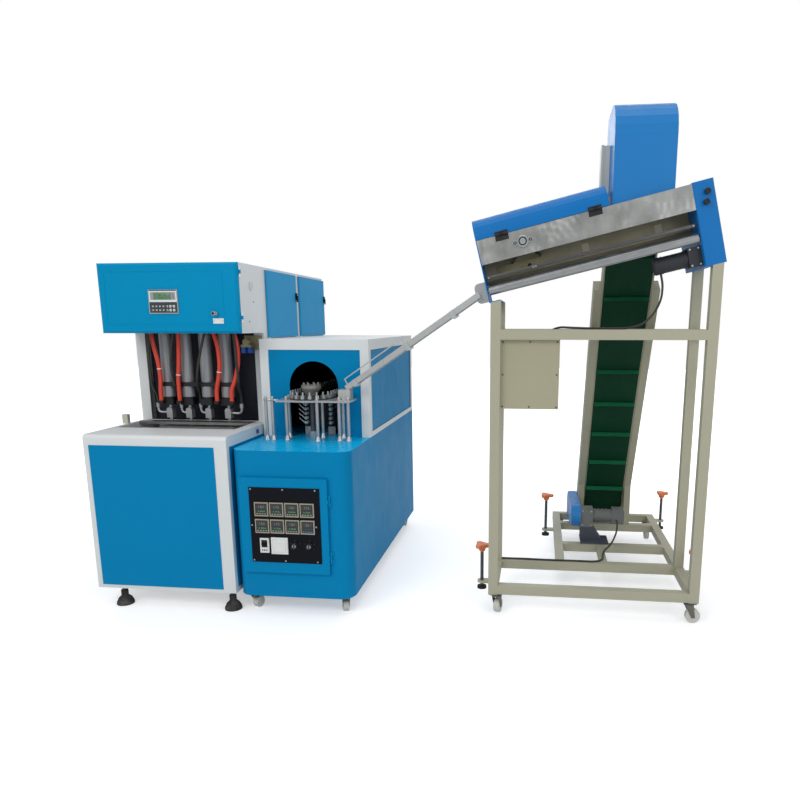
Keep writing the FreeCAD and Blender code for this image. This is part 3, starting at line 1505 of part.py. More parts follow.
def paddle_wheel():
    shaft = rod(V(paddle_s, trough_front_y - flange_thickness, paddle_n),
                V(paddle_s, trough_back_y + trough_sheet + 12, paddle_n), paddle_shaft_radius)
    hub = rod(V(paddle_s, paddle_front_y, paddle_n), V(paddle_s, paddle_rear_y, paddle_n),
              paddle_shaft_radius + 8)
    blades = []
    for index in range(paddle_blades):
        blade = box(paddle_s, paddle_s + paddle_radius, paddle_front_y, paddle_rear_y,
                    paddle_n - paddle_blade / 2, paddle_n + paddle_blade / 2)
        blades.append(turned_about(blade, V(paddle_s, 0, paddle_n), V(0, 1, 0),
                                   45 + 360.0 * index / paddle_blades))
    return tilted(fused([shaft, hub] + blades))


def incline_motor():
    """Roller drive under the right end box, and the end box's two dome bolts."""
    gear_start = end_box_start - motor_gearbox_length
    body = rod(V(motor_start, motor_y, motor_n), V(gear_start, motor_y, motor_n), motor_radius)
    gearbox = box(gear_start, end_box_start, motor_y - motor_gearbox, motor_y + motor_gearbox,
                  motor_n - motor_gearbox, motor_n + motor_gearbox)
    bolts = []
    for s, n in end_bolt_places:
        face = trough_front_y - 4
        bolts.append(rod(V(s, face - end_bolt_height, n), V(s, face, n), end_bolt_radius))
    return [tilted(shape) for shape in [fused([body, gearbox])] + bolts]


def hopper_tower():
    right = tower_left_x + tower_width

    def hood(grow):
        front = tower_front_face_y - grow
        top = tower_top_z + grow
        outline = [(front, unscrambler_z)]
        radius = tower_bend + grow
        for step in range(0, 7):
            angle = math.pi - step * math.pi / 12
            outline.append((front + radius + radius * math.cos(angle), top - radius + radius * math.sin(angle)))
        outline += [(tower_back_y + grow, top), (tower_back_y + grow, unscrambler_z)]
        return prism_x(outline, tower_left_x - grow, right + grow)

    shell = hood(0).cut(hood(-tower_skin))
    low_n = side_plate_high
    far_low = unscrambler_z - tube
    under = prism_y([(tower_left_x - 10, far_low), (right + 10, far_low), (right + 10, incline_z(right + 10, low_n)),
                     (tower_left_x - 10, incline_z(tower_left_x - 10, low_n))],
                    tower_front_face_y - 10, tower_back_y + 10)
    doorway = box(tower_left_x + tower_skin, right - tower_skin, tower_back_y - tower_skin, tower_back_y,
                  unscrambler_z, tower_opening_high)
    shell = shell.cut([under, doorway])
    box_left = tower_left_x - tower_box_depth
    case = box(box_left + tower_box_door, tower_left_x, tower_box_y, tower_box_y + tower_box_width,
               tower_box_z, tower_box_z + tower_box_height)
    lid = box(box_left, box_left + tower_box_door, tower_box_y - tower_box_lip,
              tower_box_y + tower_box_width + tower_box_lip, tower_box_z - tower_box_lip,
              tower_box_z + tower_box_height + tower_box_lip)
    return group([shell, fused([case, lid])])


nodes["loader_frame"] = loader_frame()
nodes["unscrambler_body"] = unscrambler_body()
nodes["side_plate"] = side_plate()
nodes["unscrambler_cover"] = unscrambler_cover()
nodes["roller_front"] = roller(front_roller_y, front_roller_n)
nodes["roller_rear"] = roller(rear_roller_y, rear_roller_n)
nodes["paddle_wheel"] = paddle_wheel()
nodes["hopper_tower"] = hopper_tower()
for name, side, y, reach, knob_level, pad_level in zip(jack_names, jack_sides, jack_ys, jack_reaches,
                                                       jack_knob_zs, jack_pad_zs):
    nodes[name] = jack(name, side, y, reach, knob_level, pad_level)


# ================================================================ elevator
belt_run = V(0, head_y - tail_y, head_z - tail_z)
belt_length = belt_run.Length
along = V(0, belt_run.y / belt_length, belt_run.z / belt_length)
above = V(0, along.z, -along.y)      # square to the belt, on its carrying side
tail = V(elevator_x, tail_y, tail_z)
plate_inner = belt_width / 2 + side_plate_gap
plate_outer = plate_inner + elevator_plate
channel_outer = plate_outer + channel_width
belt_inner = pulley_radius + belt_clearance


def on_belt(distance, offset):
    """(y, z) at a distance up from the tail pulley and an offset to the carrying side."""
    point = tail + along * distance + above * offset
    return (point.y, point.z)


def slab(d0, d1, o0, o1, x0, x1):
    return prism_x([on_belt(d0, o0), on_belt(d1, o0), on_belt(d1, o1), on_belt(d0, o1)], x0, x1)


def loop(offset, half):
    ends = [rod(V(elevator_x - half, y, z), V(elevator_x + half, y, z), offset)
            for y, z in (on_belt(0, 0), on_belt(belt_length, 0))]
    middle = slab(0, belt_length, -offset, offset, elevator_x - half, elevator_x + half)
    return fused(ends + [middle])


def elevator_belt():
    half = belt_width / 2
    outer_radius = belt_inner + belt_thickness
    band = loop(outer_radius, half).cut(loop(belt_inner, half))
    cleat_half = half - cleat_side_gap
    half_turn = math.pi * outer_radius
    pitch = 2 * (belt_length + half_turn) / cleat_count
    root = outer_radius - 1
    tip = outer_radius + cleat_height
    cleats = []
    for index in range(cleat_count):
        travel = (index + 0.3) * pitch
        x0 = elevator_x - cleat_half
        x1 = elevator_x + cleat_half
        if travel < belt_length:
            cleats.append(slab(travel - cleat_thickness / 2, travel + cleat_thickness / 2, root, tip, x0, x1))
        elif travel < belt_length + half_turn:
            cleat = slab(belt_length - cleat_thickness / 2, belt_length + cleat_thickness / 2, root, tip, x0, x1)
            angle = math.degrees((travel - belt_length) / outer_radius)
            centre = V(elevator_x, head_y, head_z)
            cleats.append(turned_about(cleat, centre, V(1, 0, 0), angle))
        elif travel < 2 * belt_length + half_turn:
            back = 2 * belt_length + half_turn - travel
            cleats.append(slab(back - cleat_thickness / 2, back + cleat_thickness / 2, -tip, -root, x0, x1))
        else:
            cleat = slab(-cleat_thickness / 2, cleat_thickness / 2, -tip, -root, x0, x1)
            angle = math.degrees((travel - 2 * belt_length - half_turn) / outer_radius)
            cleats.append(turned_about(cleat, tail, V(1, 0, 0), angle))
    return fused([band] + cleats)


def elevator_frame():
    parts = []
    top_distance = (channel_top_z - tail_z) / along.z
    for side in (-1, 1):
        x0, x1 = sorted((elevator_x + side * plate_inner, elevator_x + side * plate_outer))
        plate = slab(-70, belt_length + 66, -elevator_plate_half, elevator_plate_half, x0, x1)
        cuts = [box(x0, x1, 0, 2 * tail_y, -100, frame_high)]
        for y, z in ((tail_y, tail_z), (head_y, head_z)):
            cuts.append(rod(V(x0, y, z), V(x1, y, z), pulley_shaft_radius + pin_clearance))
        parts.append(plate.cut(cuts))
        c0, c1 = sorted((elevator_x + side * plate_outer, elevator_x + side * channel_outer))
        channel = slab(-160, top_distance, -channel_half_depth, channel_half_depth, c0, c1)
        shaft_way = rod(V(c0, tail_y, tail_z), V(c1, tail_y, tail_z), pulley_shaft_radius + pin_clearance)
        parts.append(channel.cut([box(c0, c1, 0, 2 * tail_y, -300, frame_high), shaft_way]))
        low_y, low_z = on_belt(0, -channel_half_depth)
        rise = along.z / -along.y

        def under_face(y):
            return low_z + (low_y - y) * rise

        parts.append(prism_x([(leg_y, frame_high), (leg_y + tube, frame_high), (leg_y + tube, under_face(leg_y + tube)),
                              (leg_y, under_face(leg_y))], c0, c1))
        z0 = mid_rail_z + 5
        z1 = mid_rail_z + tube - 5

        def under_y(z):
            return low_y - (z - low_z) / rise

        parts.append(prism_x([(loader_rear_y, z0), (under_y(z0), z0), (under_y(z1), z1), (loader_rear_y, z1)],
                             c0, c1))
    beds = []
    for low, high in ((belt_inner - bed_thickness, belt_inner), (-belt_inner, -belt_inner + bed_thickness)):
        beds.append(slab(120, belt_length - 120, low, high, elevator_x - plate_inner, elevator_x + plate_inner))
    return group(parts + beds + [feed_bin(parts)])


def pulley(y, z):
    half = plate_inner - pulley_end_gap
    drum = rod(V(elevator_x - half, y, z), V(elevator_x + half, y, z), pulley_radius)
    reach = plate_outer if near(y, head_y) else channel_outer
    shaft = rod(V(elevator_x - reach, y, z), V(elevator_x + reach, y, z), pulley_shaft_radius)
    return fused([drum, shaft])


bin_left = elevator_x - plate_outer - bin_wall
bin_right = elevator_x + plate_outer + bin_wall
drive_left = elevator_x - channel_outer - bin_wall
guard_left = drive_left - guard_width


def chain_guard():
    far = V(guard_left, tail_y, tail_z)
    close = V(guard_left, drive_y, drive_z)
    run = V(0, tail_y - drive_y, tail_z - drive_z)
    length = run.Length
    lean = math.asin((guard_tail_radius - guard_motor_radius) / length)
    heading = math.atan2(run.z, run.y)
    outline = []
    for side in (1, -1):
        normal = heading + side * (math.pi / 2 + lean)
        touch = []
        for centre, radius in ((close, guard_motor_radius), (far, guard_tail_radius)):
            touch.append((centre.y + radius * math.cos(normal), centre.z + radius * math.sin(normal)))
        outline.extend(touch if side == 1 else touch[::-1])
    body = fused([prism_x(outline, guard_left, drive_left),
                  rod(close, close + V(guard_width, 0, 0), guard_motor_radius),
                  rod(far, far + V(guard_width, 0, 0), guard_tail_radius)])
    return body.makeFillet(guard_edge_radius, edges_where(body, lambda p: near(p.x, guard_left)))


def gear_motor():
    x0 = drive_left
    x1 = x0 + gearbox_length
    x2 = x1 + drive_length
    x3 = x2 + end_housing_length
    gearbox = box(x0, x1, drive_y - gearbox_half, drive_y + gearbox_half,
                  drive_z - gearbox_half - 15, drive_z + gearbox_half)
    frame_body = rod(V(x1, drive_y, drive_z), V(x2, drive_y, drive_z), drive_radius)
    fins = [rod(V(x1 + 10 + 24 * k, drive_y, drive_z), V(x1 + 16 + 24 * k, drive_y, drive_z), drive_radius + 4)
            for k in range(4)]
    housing = box(x2, x3, drive_y - end_housing_half, drive_y + end_housing_half,
                  drive_z - end_housing_half, drive_z + end_housing_half)
    low = frame_high
    base = box(x0, x2 - 20, cross_rail_ys[0], drive_y + gearbox_half, low, low + drive_plate)
    middle = (x0 + x1) / 2
    saddle_z = drive_z - gearbox_half - 15
    pedestal = prism_y([(middle - pedestal_foot / 2 + 10, low + drive_plate), (middle + pedestal_foot, low + drive_plate),
                        (middle + pedestal_top, saddle_z), (middle - pedestal_top, saddle_z)],
                       drive_y - gearbox_half, drive_y + gearbox_half)
    return fused([gearbox, frame_body, housing, base, pedestal] + fins)


def feed_bin(frame_solids):
    """Open bin behind the belt's lower end; its sides lie on the side plates' outer faces."""
    near_top = on_belt((bin_top_z - tail_z) / along.z, 0)
    side_outline = [(near_top[0], bin_top_z), (bin_rear_y, bin_top_z), (bin_rear_y, bin_step_z),
                    (bin_foot_y, bin_foot_z), (tail_y, bin_foot_z)]
    parts = [prism_x(side_outline, bin_left, bin_left + bin_wall),
             prism_x(side_outline, bin_right - bin_wall, bin_right)]
    for x0, x1 in ((bin_left, bin_left + bin_wall), (bin_right - bin_wall, bin_right)):
        bore = rod(V(x0, tail_y, tail_z), V(x1, tail_y, tail_z), pulley_shaft_radius + 4)
        parts[0] = parts[0].cut(bore)
        parts[1] = parts[1].cut(bore)
    inner_left = bin_left + bin_wall
    inner_right = bin_right - bin_wall
    parts.append(box(inner_left, inner_right, bin_rear_y - bin_wall, bin_rear_y, bin_step_z, bin_top_z))
    parts.append(prism_x([(bin_foot_y, bin_foot_z), (bin_rear_y, bin_step_z), (bin_rear_y - bin_wall, bin_step_z),
                          (bin_foot_y - bin_wall, bin_foot_z + bin_wall)], inner_left, inner_right))
    return fused(parts).cut(frame_solids)


def roller_motor_cable():
    """From under the roller motor down to the middle rail, along it, and behind it to the terminal plate."""
    exit_s = motor_start + 28
    first = tilted(Part.Vertex(V(exit_s, motor_y, motor_n - motor_radius))).Point
    second = tilted(Part.Vertex(V(exit_s, motor_y, motor_n - motor_radius - 50))).Point
    top = mid_rail_z + tube + cable_radius
    lane_y = loader_front_y + tube / 2
    rail_back = loader_front_y + tube
    plate_y = rail_back - 20 + terminal_plate_thickness
    points = [first, second,
              V(second.x - 4, motor_y - 14, second.z - 66),
              V(second.x - 34, lane_y + 22, second.z - 130),
              V(second.x - 86, lane_y + 6, top + 22),
              V(second.x - 160, lane_y, top),
              V(second.x - 260, lane_y + 3, top),
              V(second.x - 360, lane_y - 2, top),
              V(second.x - 434, lane_y + 12, top + 3),
              V(second.x - 498, rail_back + 18, top + 6),
              V(second.x - 548, rail_back + 47, top - 18),
              V(second.x - 569, rail_back + 60, top - 68),
              V(second.x - 572, rail_back + 56, top - 124),
              V(second.x - 568, rail_back + 39, top - 166),
              V(second.x - 566, rail_back + 1, top - 182),
              V(second.x - 566, plate_y, top - 182)]
    return hose(points, cable_radius, "roller motor cable")


def motor_cable():
    """From the drive's end housing down to the long bar and along the rear rail to the left post."""
    top = frame_high + cable_radius
    start_x = drive_left + gearbox_length + drive_length + 30
    start_y = drive_y - end_housing_half
    lane_x = cable_bar_x + cable_bar_width / 2
    rail_y = loader_rear_y - tube / 2
    points = [V(start_x, start_y, drive_z - 20),
              V(start_x, start_y - 56, drive_z - 20),
              V(start_x - 9, start_y - 118, drive_z - 60),
              V(start_x - 43, start_y - 174, drive_z - 117),
              V(lane_x + 16, start_y - 218, top + 2),
              V(lane_x + 2, start_y - 284, top),
              V(lane_x - 4, start_y - 356, top),
              V(lane_x - 26, rail_y + 13, top),
              V(lane_x - 68, rail_y - 2, top),
              V(lane_x - 160, rail_y + 1, top),
              V(lane_x - 310, rail_y - 4, top),
              V(lane_x - 460, rail_y + 2, top),
              V(lane_x - 530, rail_y, top),
              V(loader_left + tube, rail_y, top)]
    return hose(points, cable_radius, "motor cable")


nodes["elevator_frame"] = elevator_frame()
nodes["elevator_belt"] = elevator_belt()
nodes["head_pulley"] = pulley(head_y, head_z)
nodes["tail_pulley"] = pulley(tail_y, tail_z)
nodes["gear_motors"] = group([gear_motor(), chain_guard()] + incline_motor())
nodes["motor_cables"] = group([motor_cable(), roller_motor_cable()])


# ================================================================ chute
def chute():
    top = V(*chute_top)
    low = V(*chute_low)
    run = top - low
    length = run.Length
    forward = run.normalize()
    across = V(-forward.y, forward.x, 0).normalize()
    half_gap = chute_gap / 2

    def bar(d0, d1, a0, a1, h0, h1):
        shape = box(d0, d1, a0, a1, h0, h1)
        return framed(shape, low, forward, across)

    rails = []
    for side in (-1, 1):
        a0, a1 = sorted((side * half_gap, side * (half_gap + chute_rail)))
        rails.append(bar(0, length, a0, a1, 0, chute_height))
    outer = half_gap + chute_rail
    wide = outer + chute_clamp_wall
    clamps = []
    for share in chute_clamps:
        d0 = share * length
        d1 = d0 + chute_clamp_width
        clamp = bar(d0, d1, -wide, wide, -chute_clamp_floor, chute_height)
        clamps.append(clamp.cut(bar(d0, d1, -outer, outer, 0, chute_height)))
    stay_height = chute_rod_height - 2 * chute_rod_radius
    rod_end = chute_rod_reach * length
    guard = bar(chute_rod_start * length, rod_end, -outer, -half_gap, chute_height + stay_height,
                chute_height + chute_rod_height)
    stays = [bar(d, d + chute_stay, -outer, -half_gap, chute_height, chute_height + stay_height)
             for d in (chute_rod_start * length, rod_end - chute_stay)]
    far_rail = fused([rails[1], hook_plate(top, half_gap)])
    gate = gate_block(low).cut(rails)
    return group([rails[0], far_rail, gate, fused([guard] + stays)] + clamps)


def hook_plate(top, half_gap):
    """Rounded tab on the unscrambler's left plate that the chute's upper end hangs from."""
    y0 = top.y + half_gap
    tab = box(-hook_reach, 0, y0, y0 + hook_thickness, hook_low, hook_high)
    tab = tab.makeFillet(hook_radius, [edge for edge in tab.Edges
                                       if near(abs(edge.tangentAt(edge.FirstParameter).y), 1)
                                       and near(edge.Vertexes[0].Point.x, -hook_reach)])
    return tilted(tab)


def gate_block(low):
    base = guide_top_z
    block = box(low.x - gate_depth, low.x + 14, low.y - gate_width / 2 - 12, low.y + gate_width / 2 + 12,
                base, low.z + 6)
    slot = box(low.x - gate_depth, low.x + 14, low.y - chute_gap / 2, low.y + chute_gap / 2,
               base + 8, low.z + 6)
    return block.cut(slot)


nodes["chute"] = chute()


# ================================================================ casters
def caster_parts(x, y, top_z, radius, heading, fixed):
    """Plate with kingpin, fork with axle, and wheel. A fixed caster comes back as one solid."""
    half_plate = caster_plate / 2
    pin_low = top_z - caster_plate_thickness - fork_block - 2
    fork_top = top_z - caster_plate_thickness - float_gap
    fork_low = fork_top - fork_block
    half_width = wheel_width / 2 + fork_side_gap
    plate = box(-half_plate, half_plate, -half_plate, half_plate, top_z - caster_plate_thickness, top_z)
    kingpin = rod(V(0, 0, pin_low), V(0, 0, top_z - caster_plate_thickness), kingpin_radius)
    crown = box(-22, 20, -half_width - fork_cheek, half_width + fork_cheek, fork_low, fork_top)
    cheeks = [prism_y([(-caster_trail - 9, radius - 9), (-caster_trail + 9, radius - 9), (20, fork_low),
                       (-22, fork_low)], y0, y0 + fork_cheek) for y0 in (-half_width - fork_cheek, half_width)]
    axle = rod(V(-caster_trail, -half_width, radius), V(-caster_trail, half_width, radius), axle_radius)
    tread = rod(V(-caster_trail, -wheel_width / 2, radius), V(-caster_trail, wheel_width / 2, radius), radius)
    tread = tread.makeChamfer(3, [edge for edge in tread.Edges if len(edge.Vertexes) == 1])
    place = V(x, y, 0)
    if fixed:
        neck = rod(V(0, 0, fork_low), V(0, 0, top_z), kingpin_radius)
        whole = fused([plate, neck, crown, axle, tread] + cheeks)
        return moved(turned_about(whole, V(0, 0, 0), V(0, 0, 1), heading), x, y, 0)
    fork = fused([crown, axle] + cheeks)
    fork = fork.cut(rod(V(0, 0, fork_low), V(0, 0, fork_top), kingpin_radius + pin_clearance))
    wheel = tread.cut(rod(V(-caster_trail, -wheel_width / 2, radius), V(-caster_trail, wheel_width / 2, radius),
                          axle_radius + pin_clearance))
    result = []
    for shape in (fused([plate, kingpin]), fork, wheel):
        result.append(moved(turned_about(shape, V(0, 0, 0), V(0, 0, 1), heading), x, y, 0))
    return result


def heater_caster_places():
    front = heater_caster_front
    rear = heater_depth - heater_caster_rear
    left = heater_left + heater_caster_left
    right = heater_right - heater_caster_inset
    return ((left, front, 250.0), (right, front, 290.0), (left, rear, 90.0), (right, rear, 90.0))


loader_front_casters = ((loader_left + loader_caster_inset, loader_front_y + loader_caster_front, 255.0),
                        (loader_right - loader_caster_inset, loader_front_y + loader_caster_front, 185.0))
loader_rear_casters = ((base_left_x + loader_caster_inset, base_rear_y - loader_caster_rear, 90.0),
                       (loader_right - loader_caster_inset, base_rear_y - loader_caster_rear, 90.0))
caster_bases = []
for side, (x, y, heading) in zip(("left", "right"), loader_front_casters):
    base, fork, wheel = caster_parts(x, y, frame_bottom_z, loader_wheel_radius, heading, False)
    caster_bases.append(base)
    nodes["caster_fork_" + side] = fork
    nodes["caster_wheel_" + side] = wheel
for x, y, heading in heater_caster_places():
    caster_bases.append(caster_parts(x, y, heater_bottom_z, heater_wheel_radius, heading, True))
for x, y, heading in loader_rear_casters:
    caster_bases.append(caster_parts(x, y, frame_low, loader_wheel_radius, heading, True))
nodes["casters_and_feet"] = group(caster_bases + levelling_feet().Solids)


# ================================================================ export
datum = V(foot_places[0][0], foot_places[0][1], 0)
os.makedirs("parts", exist_ok=True)
for name, shape in nodes.items():
    placed = shape.copy()
    placed.translate(datum * -1)
    placed.exportStep("parts/" + name + ".step")
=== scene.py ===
import bpy
import math
from mathutils import Matrix, Vector


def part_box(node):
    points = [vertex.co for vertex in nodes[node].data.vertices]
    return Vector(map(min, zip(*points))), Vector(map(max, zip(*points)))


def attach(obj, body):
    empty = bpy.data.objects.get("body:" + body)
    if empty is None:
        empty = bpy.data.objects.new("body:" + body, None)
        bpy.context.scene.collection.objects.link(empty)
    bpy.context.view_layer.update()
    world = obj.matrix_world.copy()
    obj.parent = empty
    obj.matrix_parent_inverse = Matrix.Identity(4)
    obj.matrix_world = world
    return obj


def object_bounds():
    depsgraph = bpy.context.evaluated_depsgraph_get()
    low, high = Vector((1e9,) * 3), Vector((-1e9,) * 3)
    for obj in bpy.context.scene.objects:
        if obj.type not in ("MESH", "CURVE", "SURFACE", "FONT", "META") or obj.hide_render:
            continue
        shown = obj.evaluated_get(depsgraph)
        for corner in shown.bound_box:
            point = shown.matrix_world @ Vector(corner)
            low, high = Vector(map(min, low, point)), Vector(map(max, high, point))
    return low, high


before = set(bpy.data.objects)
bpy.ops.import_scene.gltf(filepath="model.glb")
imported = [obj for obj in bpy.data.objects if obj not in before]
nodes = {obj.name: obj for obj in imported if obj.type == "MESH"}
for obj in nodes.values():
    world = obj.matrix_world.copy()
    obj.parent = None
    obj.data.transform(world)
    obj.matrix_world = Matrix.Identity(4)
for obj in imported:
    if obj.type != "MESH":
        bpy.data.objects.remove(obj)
cad_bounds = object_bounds()

# ---------------------------------------------------------------- where things are
# The line is laid out in millimetres from the blowing unit's front left bottom edge;
# the row frame starts under its front left foot.
FOOT = Vector((129.0, 34.0, 0.0))
SLOPE_START = (2153.0, 0.0, 1638.0)
TILT = math.radians(13.5)
NEAR_SIDE = Vector((0.0, -1.0, 0.0))
BELT_UP = (0.0, -0.504, 0.864)  # the way the belt's upper run faces
JACKS = ("jack_front_left", "jack_front_right", "jack_rear_left", "jack_rear_right")


def mm(value):
    return value / 1000.0


def place(x, y, z):
    return (Vector((x, y, z)) - FOOT) / 1000.0


def incline(s, y, n):
    """Point on the unscrambler: s up the slope, n square to it."""
    x = SLOPE_START[0] + s * math.cos(TILT) - n * math.sin(TILT)
    z = SLOPE_START[2] + s * math.sin(TILT) + n * math.cos(TILT)
    return place(x, y, z)


# ---------------------------------------------------------------- shader nodes
def feed(tree, node, values):
    """Set or link a node's inputs; a value is a number, a colour, a vector or a socket."""
    for label, value in values.items():
        target = node.inputs[label]
        if isinstance(value, bpy.types.NodeSocket):
            tree.links.new(value, target)
        elif target.type == "RGBA" and len(value) == 3:
            target.default_value = (*value, 1.0)
        else:
            target.default_value = value


def add_node(tree, kind, values):
    node = tree.nodes.new("ShaderNode" + kind)
    feed(tree, node, values)
    return node


def calc(tree, operation, first, second=0.0, clamp=False):
    node = add_node(tree, "Math", {0: first, 1: second})
    node.operation = operation
    node.use_clamp = clamp
    return node.outputs[0]


def vector_calc(tree, operation, first, second):
    node = add_node(tree, "VectorMath", {0: first, 1: second})
    node.operation = operation
    return node.outputs["Value"]


def blend(tree, factor, first, second, kind="RGBA", mode="MIX"):
    """Two colours mixed or, with kind FLOAT, two numbers."""
    node = tree.nodes.new("ShaderNodeMix")
    node.data_type = kind
    node.blend_type = mode
    taken = [index for index, target in enumerate(node.inputs) if target.enabled]
    feed(tree, node, dict(zip(taken, (factor, first, second))))
    return next(source for source in node.outputs if source.enabled)


def noise(tree, vector, scale, detail=3.0, roughness=0.5):
    values = {"Vector": vector, "Scale": scale, "Detail": detail, "Roughness": roughness}
    return add_node(tree, "TexNoise", values).outputs["Fac"]


def ramp(tree, value, low, high, start=0.0, end=1.0):
    values = {"Value": value, "From Min": low, "From Max": high, "To Min": start, "To Max": end}
    return add_node(tree, "MapRange", values).outputs["Result"]


def stretched(tree, vector, scale):
    return add_node(tree, "Mapping", {"Vector": vector, "Scale": scale}).outputs["Vector"]


def axes(tree, vector):
    return add_node(tree, "SeparateXYZ", {"Vector": vector}).outputs


def normal_of(tree):
    return tree.nodes.new("ShaderNodeNewGeometry").outputs["Normal"]


def light_path(tree):
    return tree.nodes.new("ShaderNodeLightPath").outputs


def object_place(tree):
    return tree.nodes.new("ShaderNodeTexCoord").outputs["Object"]


# ---------------------------------------------------------------- camera, light, floor
camera_data = bpy.data.cameras.new("camera")
camera_data.sensor_width = 36.0
camera_data.lens = 30.31
camera_data.shift_x = -0.0746
camera_data.shift_y = 0.0749
camera_data.clip_end = 60.0
camera = bpy.data.objects.new("camera", camera_data)
camera.location = place(2401.7, -3276.6, 1539.4)
camera.rotation_euler = (math.pi / 2 - 0.2, 0.0, 0.1158)
bpy.context.scene.collection.objects.link(camera)
bpy.context.scene.camera = camera
bpy.context.scene.view_settings.view_transform = "Standard"


def area_light(name, position, target, size, power, colour=(1.0, 1.0, 1.0)):
    data = bpy.data.lights.new(name, "AREA")
    data.shape = "RECTANGLE"
    data.size = size[0]
    data.size_y = size[1]
    data.energy = power
    data.color = colour
    lamp = bpy.data.objects.new(name, data)
    lamp.location = position
    lamp.rotation_euler = (Vector(target) - Vector(position)).to_track_quat("-Z", "Y").to_euler()
    bpy.context.scene.collection.objects.link(lamp)


area_light("key", (-1.2, -4.6, 4.6), (1.4, 0.5, 0.9), (3.0, 2.2), 108.0, (1.0, 0.985, 0.96))
area_light("fill", (5.6, -3.8, 3.2), (1.8, 0.6, 0.9), (3.0, 3.0), 60.0, (0.96, 0.98, 1.0))
area_light("back", (1.8, 5.2, 4.2), (1.6, 0.8, 1.0), (4.0, 2.0), 66.0)
area_light("top", (1.6, 0.4, 5.6), (1.6, 0.5, 0.0), (4.5, 3.0), 52.0)

# the sky lights the line softly, and is white where the camera sees it
world = bpy.data.worlds.new("studio")
world.use_nodes = True
bpy.context.scene.world = world
sky = world.node_tree
sky.nodes.clear()
sky_path = light_path(sky)
sky_seen = calc(sky, "MAXIMUM", sky_path["Is Camera Ray"], sky_path["Is Transmission Ray"])
sky_plain = add_node(sky, "Background", {"Color": (0.94, 0.96, 1.0), "Strength": 0.52})
sky_shown = add_node(sky, "Background", {"Color": (1.0, 1.0, 1.0), "Strength": 1.0})
sky_mix = add_node(sky, "MixShader", {0: sky_seen, 1: sky_plain.outputs[0], 2: sky_shown.outputs[0]})
add_node(sky, "OutputWorld", {"Surface": sky_mix.outputs[0]})

# the floor glows away into the white
bpy.ops.object.select_all(action="DESELECT")
bpy.ops.mesh.primitive_plane_add(size=40.0, location=(1.5, 0.5, -0.0005))
floor = bpy.context.object
floor.name = "floor"
bpy.ops.object.transform_apply(location=True, rotation=True, scale=True)
floor_paint = bpy.data.materials.new("pale floor")
floor_paint.use_nodes = True
floor_tree = floor_paint.node_tree
floor_reach = vector_calc(floor_tree, "DISTANCE", object_place(floor_tree), (1.6, 0.4, 0.0))
floor_fade = ramp(floor_tree, floor_reach, 1.6, 4.6, 0.42, 1.0)
floor_glow = calc(floor_tree, "MULTIPLY", light_path(floor_tree)["Is Camera Ray"], floor_fade)
feed(floor_tree, floor_tree.nodes["Principled BSDF"],
     {"Base Color": (0.86, 0.87, 0.88), "Roughness": 0.75, "Emission Color": (1.0, 1.0, 1.0),
      "Emission Strength": floor_glow})
floor.data.materials.append(floor_paint)

# ---------------------------------------------------------------- effects
SOCKET_KINDS = {1: "NodeSocketFloat", 3: "NodeSocketVector", 4: "NodeSocketColor"}
GREY = (0.5, 0.5, 0.5, 1.0)


def shader_group(name, settings, results):
    """A group that takes a Vector and settings; gives the group, what it takes and what it gives."""
    group = bpy.data.node_groups.new(name, "ShaderNodeTree")
    group.interface.new_socket(name="Vector", in_out="INPUT", socket_type=SOCKET_KINDS[3])
    for label, value in settings.items():
        kind = SOCKET_KINDS[len(value) if isinstance(value, tuple) else 1]
        group.interface.new_socket(name=label, in_out="INPUT", socket_type=kind).default_value = value
    for label in results:
        kind = SOCKET_KINDS[4 if label == "Colour" else 1]
        group.interface.new_socket(name=label, in_out="OUTPUT", socket_type=kind)
    return group, group.nodes.new("NodeGroupInput").outputs, group.nodes.new("NodeGroupOutput").inputs


def make_mottle():
    """Slow cloudy changes of shade, as sprayed paint and cast surfaces have."""
    group, takes, gives = shader_group("mottle", {"Colour": GREY, "Amount": 0.06, "Scale": 3.0}, ["Colour"])
    cloud = noise(group, takes["Vector"], takes["Scale"], 4.0)
    shade = calc(group, "MULTIPLY", calc(group, "SUBTRACT", cloud, 0.5), takes["Amount"])
    factor = calc(group, "ADD", 1.0, calc(group, "MULTIPLY", shade, 2.0))
    combine = add_node(group, "CombineColor", dict.fromkeys(("Red", "Green", "Blue"), factor))
    result = blend(group, 1.0, takes["Colour"], combine.outputs["Color"], mode="MULTIPLY")
    group.links.new(result, gives["Colour"])
    return group


def make_dust():
    """Pale dust that lies on upward faces and gathers towards the floor."""
    settings = {"Colour": GREY, "Dust": (0.55, 0.53, 0.48, 1.0), "Amount": 0.25, "Reach": 0.35}
    group, takes, gives = shader_group("dust", settings, ["Colour", "Mask"])
    height = axes(group, takes["Vector"])["Z"]
    low = calc(group, "SUBTRACT", 1.0, calc(group, "DIVIDE", height, takes["Reach"]), True)
    upward = ramp(group, axes(group, normal_of(group))["Z"], 0.6, 1.0, 0.0, 0.55)
    patches = ramp(group, noise(group, takes["Vector"], 9.0, 6.0, 0.65), 0.42, 0.72)
    speckle = ramp(group, noise(group, takes["Vector"], 160.0, 2.0), 0.4, 0.65, 0.35, 1.0)
    reach = calc(group, "ADD", low, upward, True)
    mask = calc(group, "MULTIPLY", calc(group, "MULTIPLY", reach, patches), speckle)
    mask = calc(group, "MULTIPLY", mask, takes["Amount"], True)
    group.links.new(blend(group, mask, takes["Colour"], takes["Dust"]), gives["Colour"])
    group.links.new(mask, gives["Mask"])
    return group


